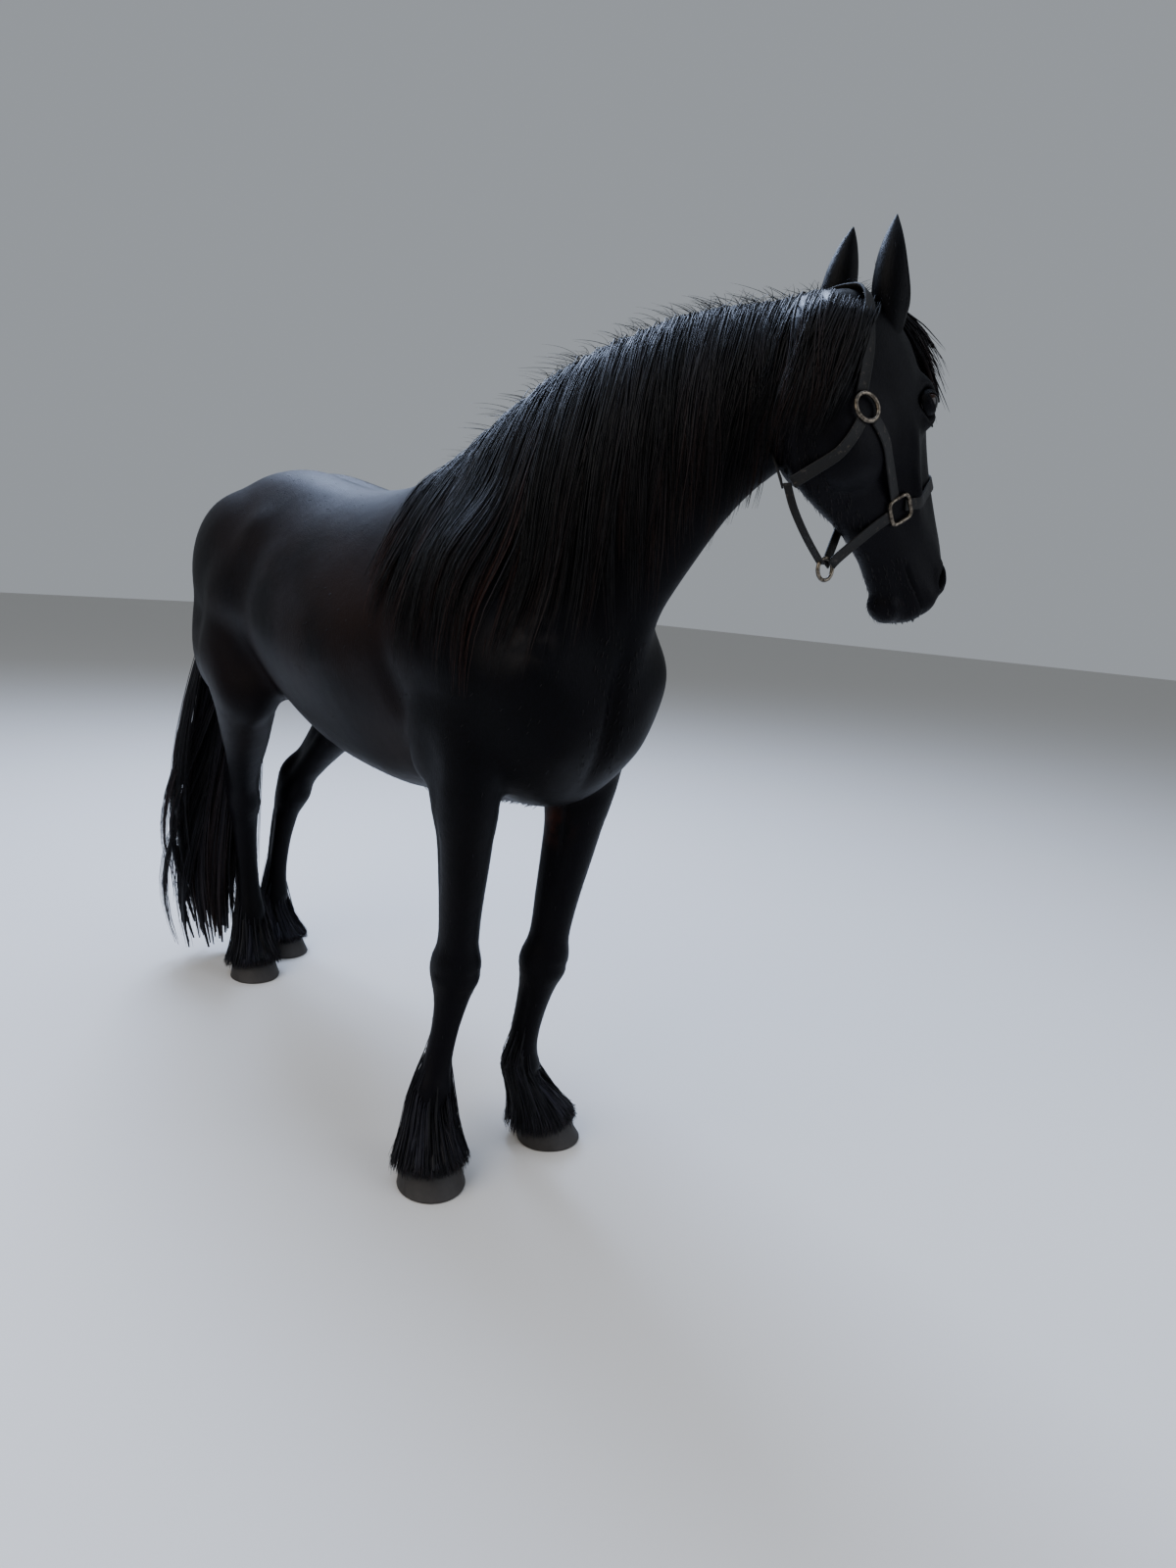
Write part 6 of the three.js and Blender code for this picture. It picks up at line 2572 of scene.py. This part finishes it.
@dataclass(frozen=True)
class DullSteel:
    """Plated steel wire, scratched and dulled by weather."""

    bright: str = "#6e665a"
    dull: str = "#2a2520"

    def build(self) -> bpy.types.Material:
        """Mottles the plating and varies its gloss.

        Returns:
            The steel's material.
        """
        material, tree, shader = new_material("weathered_steel", Metallic=1.0, Roughness=0.36)
        # Stains that are both darker and duller break up the mirror of the plating.
        stain = noise(tree, object_place(tree), 160.0, 5.0)
        colour = ramp(tree, stain, [(0.4, self.bright), (0.7, self.dull)])
        tree.links.new(colour, shader.inputs["Base Color"])
        rough = add_node(tree, "ShaderNodeMapRange",
                         {"Value": stain, "To Min": 0.26, "To Max": 0.55})
        tree.links.new(rough.outputs["Result"], shader.inputs["Roughness"])
        return material


@dataclass(frozen=True)
class SoftLight:
    """One square light that faces the horse, in metres and watts."""

    name: str
    place: Triple
    size: float
    power: float
    colour: str
    target: Triple = (-0.2, 0.0, 1.1)

    def build(self) -> None:
        """Adds the light and turns it to the horse's barrel."""
        data = bpy.data.lights.new(self.name, "AREA")
        data.size = self.size
        data.energy = self.power
        data.color = linear(self.colour)[:3]
        light = bpy.data.objects.new(self.name, data)
        light.location = self.place
        way = Vector(self.target) - Vector(self.place)
        light.rotation_euler = way.to_track_quat("-Z", "Y").to_euler()
        bpy.context.collection.objects.link(light)


@dataclass
class Studio:
    """The pale floor, the soft lights and the camera at the photograph's viewing angle."""

    camera_place: Triple = (1715.0, -1332.0, 1320.0)
    look: Triple = (-0.7256, 0.6603, -0.1935)
    roll: float = 4.33
    focal_pixels: float = 1006.0
    image_height: float = 1600.0
    sensor_mm: float = 36.0
    floor_size: float = 60.0
    floor_colour: str = "#c9c6c1"
    world_colour: str = "#dfe6ee"
    world_strength: float = 0.44
    soft_lights: tuple[SoftLight, ...] = (
        SoftLight("key", (0.5, -4.5, 4.2), 4.5, 200.0, "#fff6ea"),
        SoftLight("sky", (-0.8, 0.2, 5.4), 6.0, 330.0, "#cfe0ff"),
        SoftLight("fill", (4.6, 1.8, 2.6), 3.5, 100.0, "#eef3ff"),
        SoftLight("back", (-3.5, 0.8, 5.7), 2.6, 620.0, "#c4d8ff"),
    )

    def build(self) -> None:
        """Places camera, floor, world and lights."""
        self.camera()
        self.floor()
        self.lights()

    def camera(self) -> None:
        """Sets the camera where the photograph was taken from."""
        data = bpy.data.cameras.new("photo_camera")
        data.sensor_width = self.sensor_mm
        data.lens = self.sensor_mm * self.focal_pixels / self.image_height
        data.clip_end = 60.0
        look = unit(np.array(self.look))
        right = unit(np.cross(look, UP))
        above = np.cross(right, look)
        roll = math.radians(self.roll)
        x_axis = right * math.cos(roll) + above * math.sin(roll)
        y_axis = above * math.cos(roll) - right * math.sin(roll)
        matrix = np.eye(4)
        matrix[:3, 0], matrix[:3, 1], matrix[:3, 2] = x_axis, y_axis, -look
        matrix[:3, 3] = to_scene(np.array(self.camera_place))
        camera = bpy.data.objects.new("photo_camera", data)
        camera.matrix_world = Matrix(matrix.tolist())
        bpy.context.collection.objects.link(camera)
        bpy.context.scene.camera = camera

    def floor(self) -> None:
        """Lays a wide pale floor at the soles' level."""
        clear_selection()
        bpy.ops.mesh.primitive_plane_add(size=self.floor_size, location=(0, 0, 0))
        piece = bpy.context.active_object
        piece.name = "studio_floor"
        material, _, _ = new_material("pale_floor", Roughness=0.9,
                                      Base_Color=linear(self.floor_colour))
        piece.data.materials.append(material)

    def lights(self) -> None:
        """Adds a pale world and four wide soft lights."""
        world = bpy.data.worlds.new("soft_world")
        world.use_nodes = True
        background = world.node_tree.nodes["Background"]
        background.inputs["Color"].default_value = linear(self.world_colour)
        background.inputs["Strength"].default_value = self.world_strength
        bpy.context.scene.world = world
        for light in self.soft_lights:
            light.build()


def dress(piece: Piece, material: bpy.types.Material, nodes: Sequence[str] = ()) -> None:
    """Gives a piece its material, its body and the nodes that it stands for.

    Args:
        piece: The finished object.
        material: What it is made of.
        nodes: The nodes of the frame that it takes the place of.
    """
    piece.data.materials.clear()
    piece.data.materials.append(material)
    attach(piece, "root")
    if nodes:
        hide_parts(*nodes)
    LOG.info("%s: %d faces", piece.name, len(piece.data.polygons))


def main() -> None:
    """Builds the horse, its hair, its halter and the studio."""
    logging.basicConfig(level=logging.INFO, format="%(name)s %(message)s")
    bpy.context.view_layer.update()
    Studio().build()
    coat = BlackCoat().build()
    skin_parts = Skin()
    skin = skin_parts.build()
    tail = Tail()
    surface = skin_parts.surface
    skin = joined("skin", [skin, tail.core()])
    shade_smooth(skin)
    dress(skin, coat, ("torso", "neck", "head", "ear_right", "ear_left",
                               *(f"leg_{leg.foot.value}" for leg in LEGS)))
    mane_hair = LongHair().build("mane_hair")
    bleached = LongHair(tip="#2e160d").build("bleached_mane_hair")
    for piece in Mane(skin_parts.neck, surface).build():
        dress(piece, bleached if piece.name.endswith("1") else mane_hair)
    dress(Forelock().build(), mane_hair)
    # The tail's hair is drawn lighter than the mane's to make up for the shade it hangs in: painted
    # light.
    tail_hair = LongHair(root="#0a0a0d", body="#121217", pale="#1d1c22",
                         tip="#20140f").build("tail_hair")
    for piece in tail.build():
        dress(piece, tail_hair, ("tail",) if piece.name.endswith("1") else ())
    dress(CoatTufts(Surface(skin)).build(), mane_hair)
    horn = HoofHorn().build()
    # The feather hair is drawn lighter and bluer than the mane's, as painted light where the lower
    # legs lie in shade.
    feather_hair = LongHair(root="#09090c", body="#131318", pale="#212027",
                            tip="#20150f").build("feather_hair")
    for seed, leg in enumerate(LEGS):
        dress(Feather(leg, 51 + seed).build(), feather_hair)
        dress(Hoof(leg).build(), horn, (f"hoof_{leg.foot.value}",))
    wet = WetEye().build()
    for side in Side:
        eye = Eye(side)
        dress(eye.ball(), wet, (f"eye_{side.name.lower()}",))
        dress(eye.lids(), coat)
    webbing = WornWebbing().build()
    steel = DullSteel().build()
    for piece, nodes in Halter(surface).build().values():
        metal = "ring" in piece.name
        dress(piece, steel if metal else webbing, nodes)


if __name__ == "__main__":
    main()
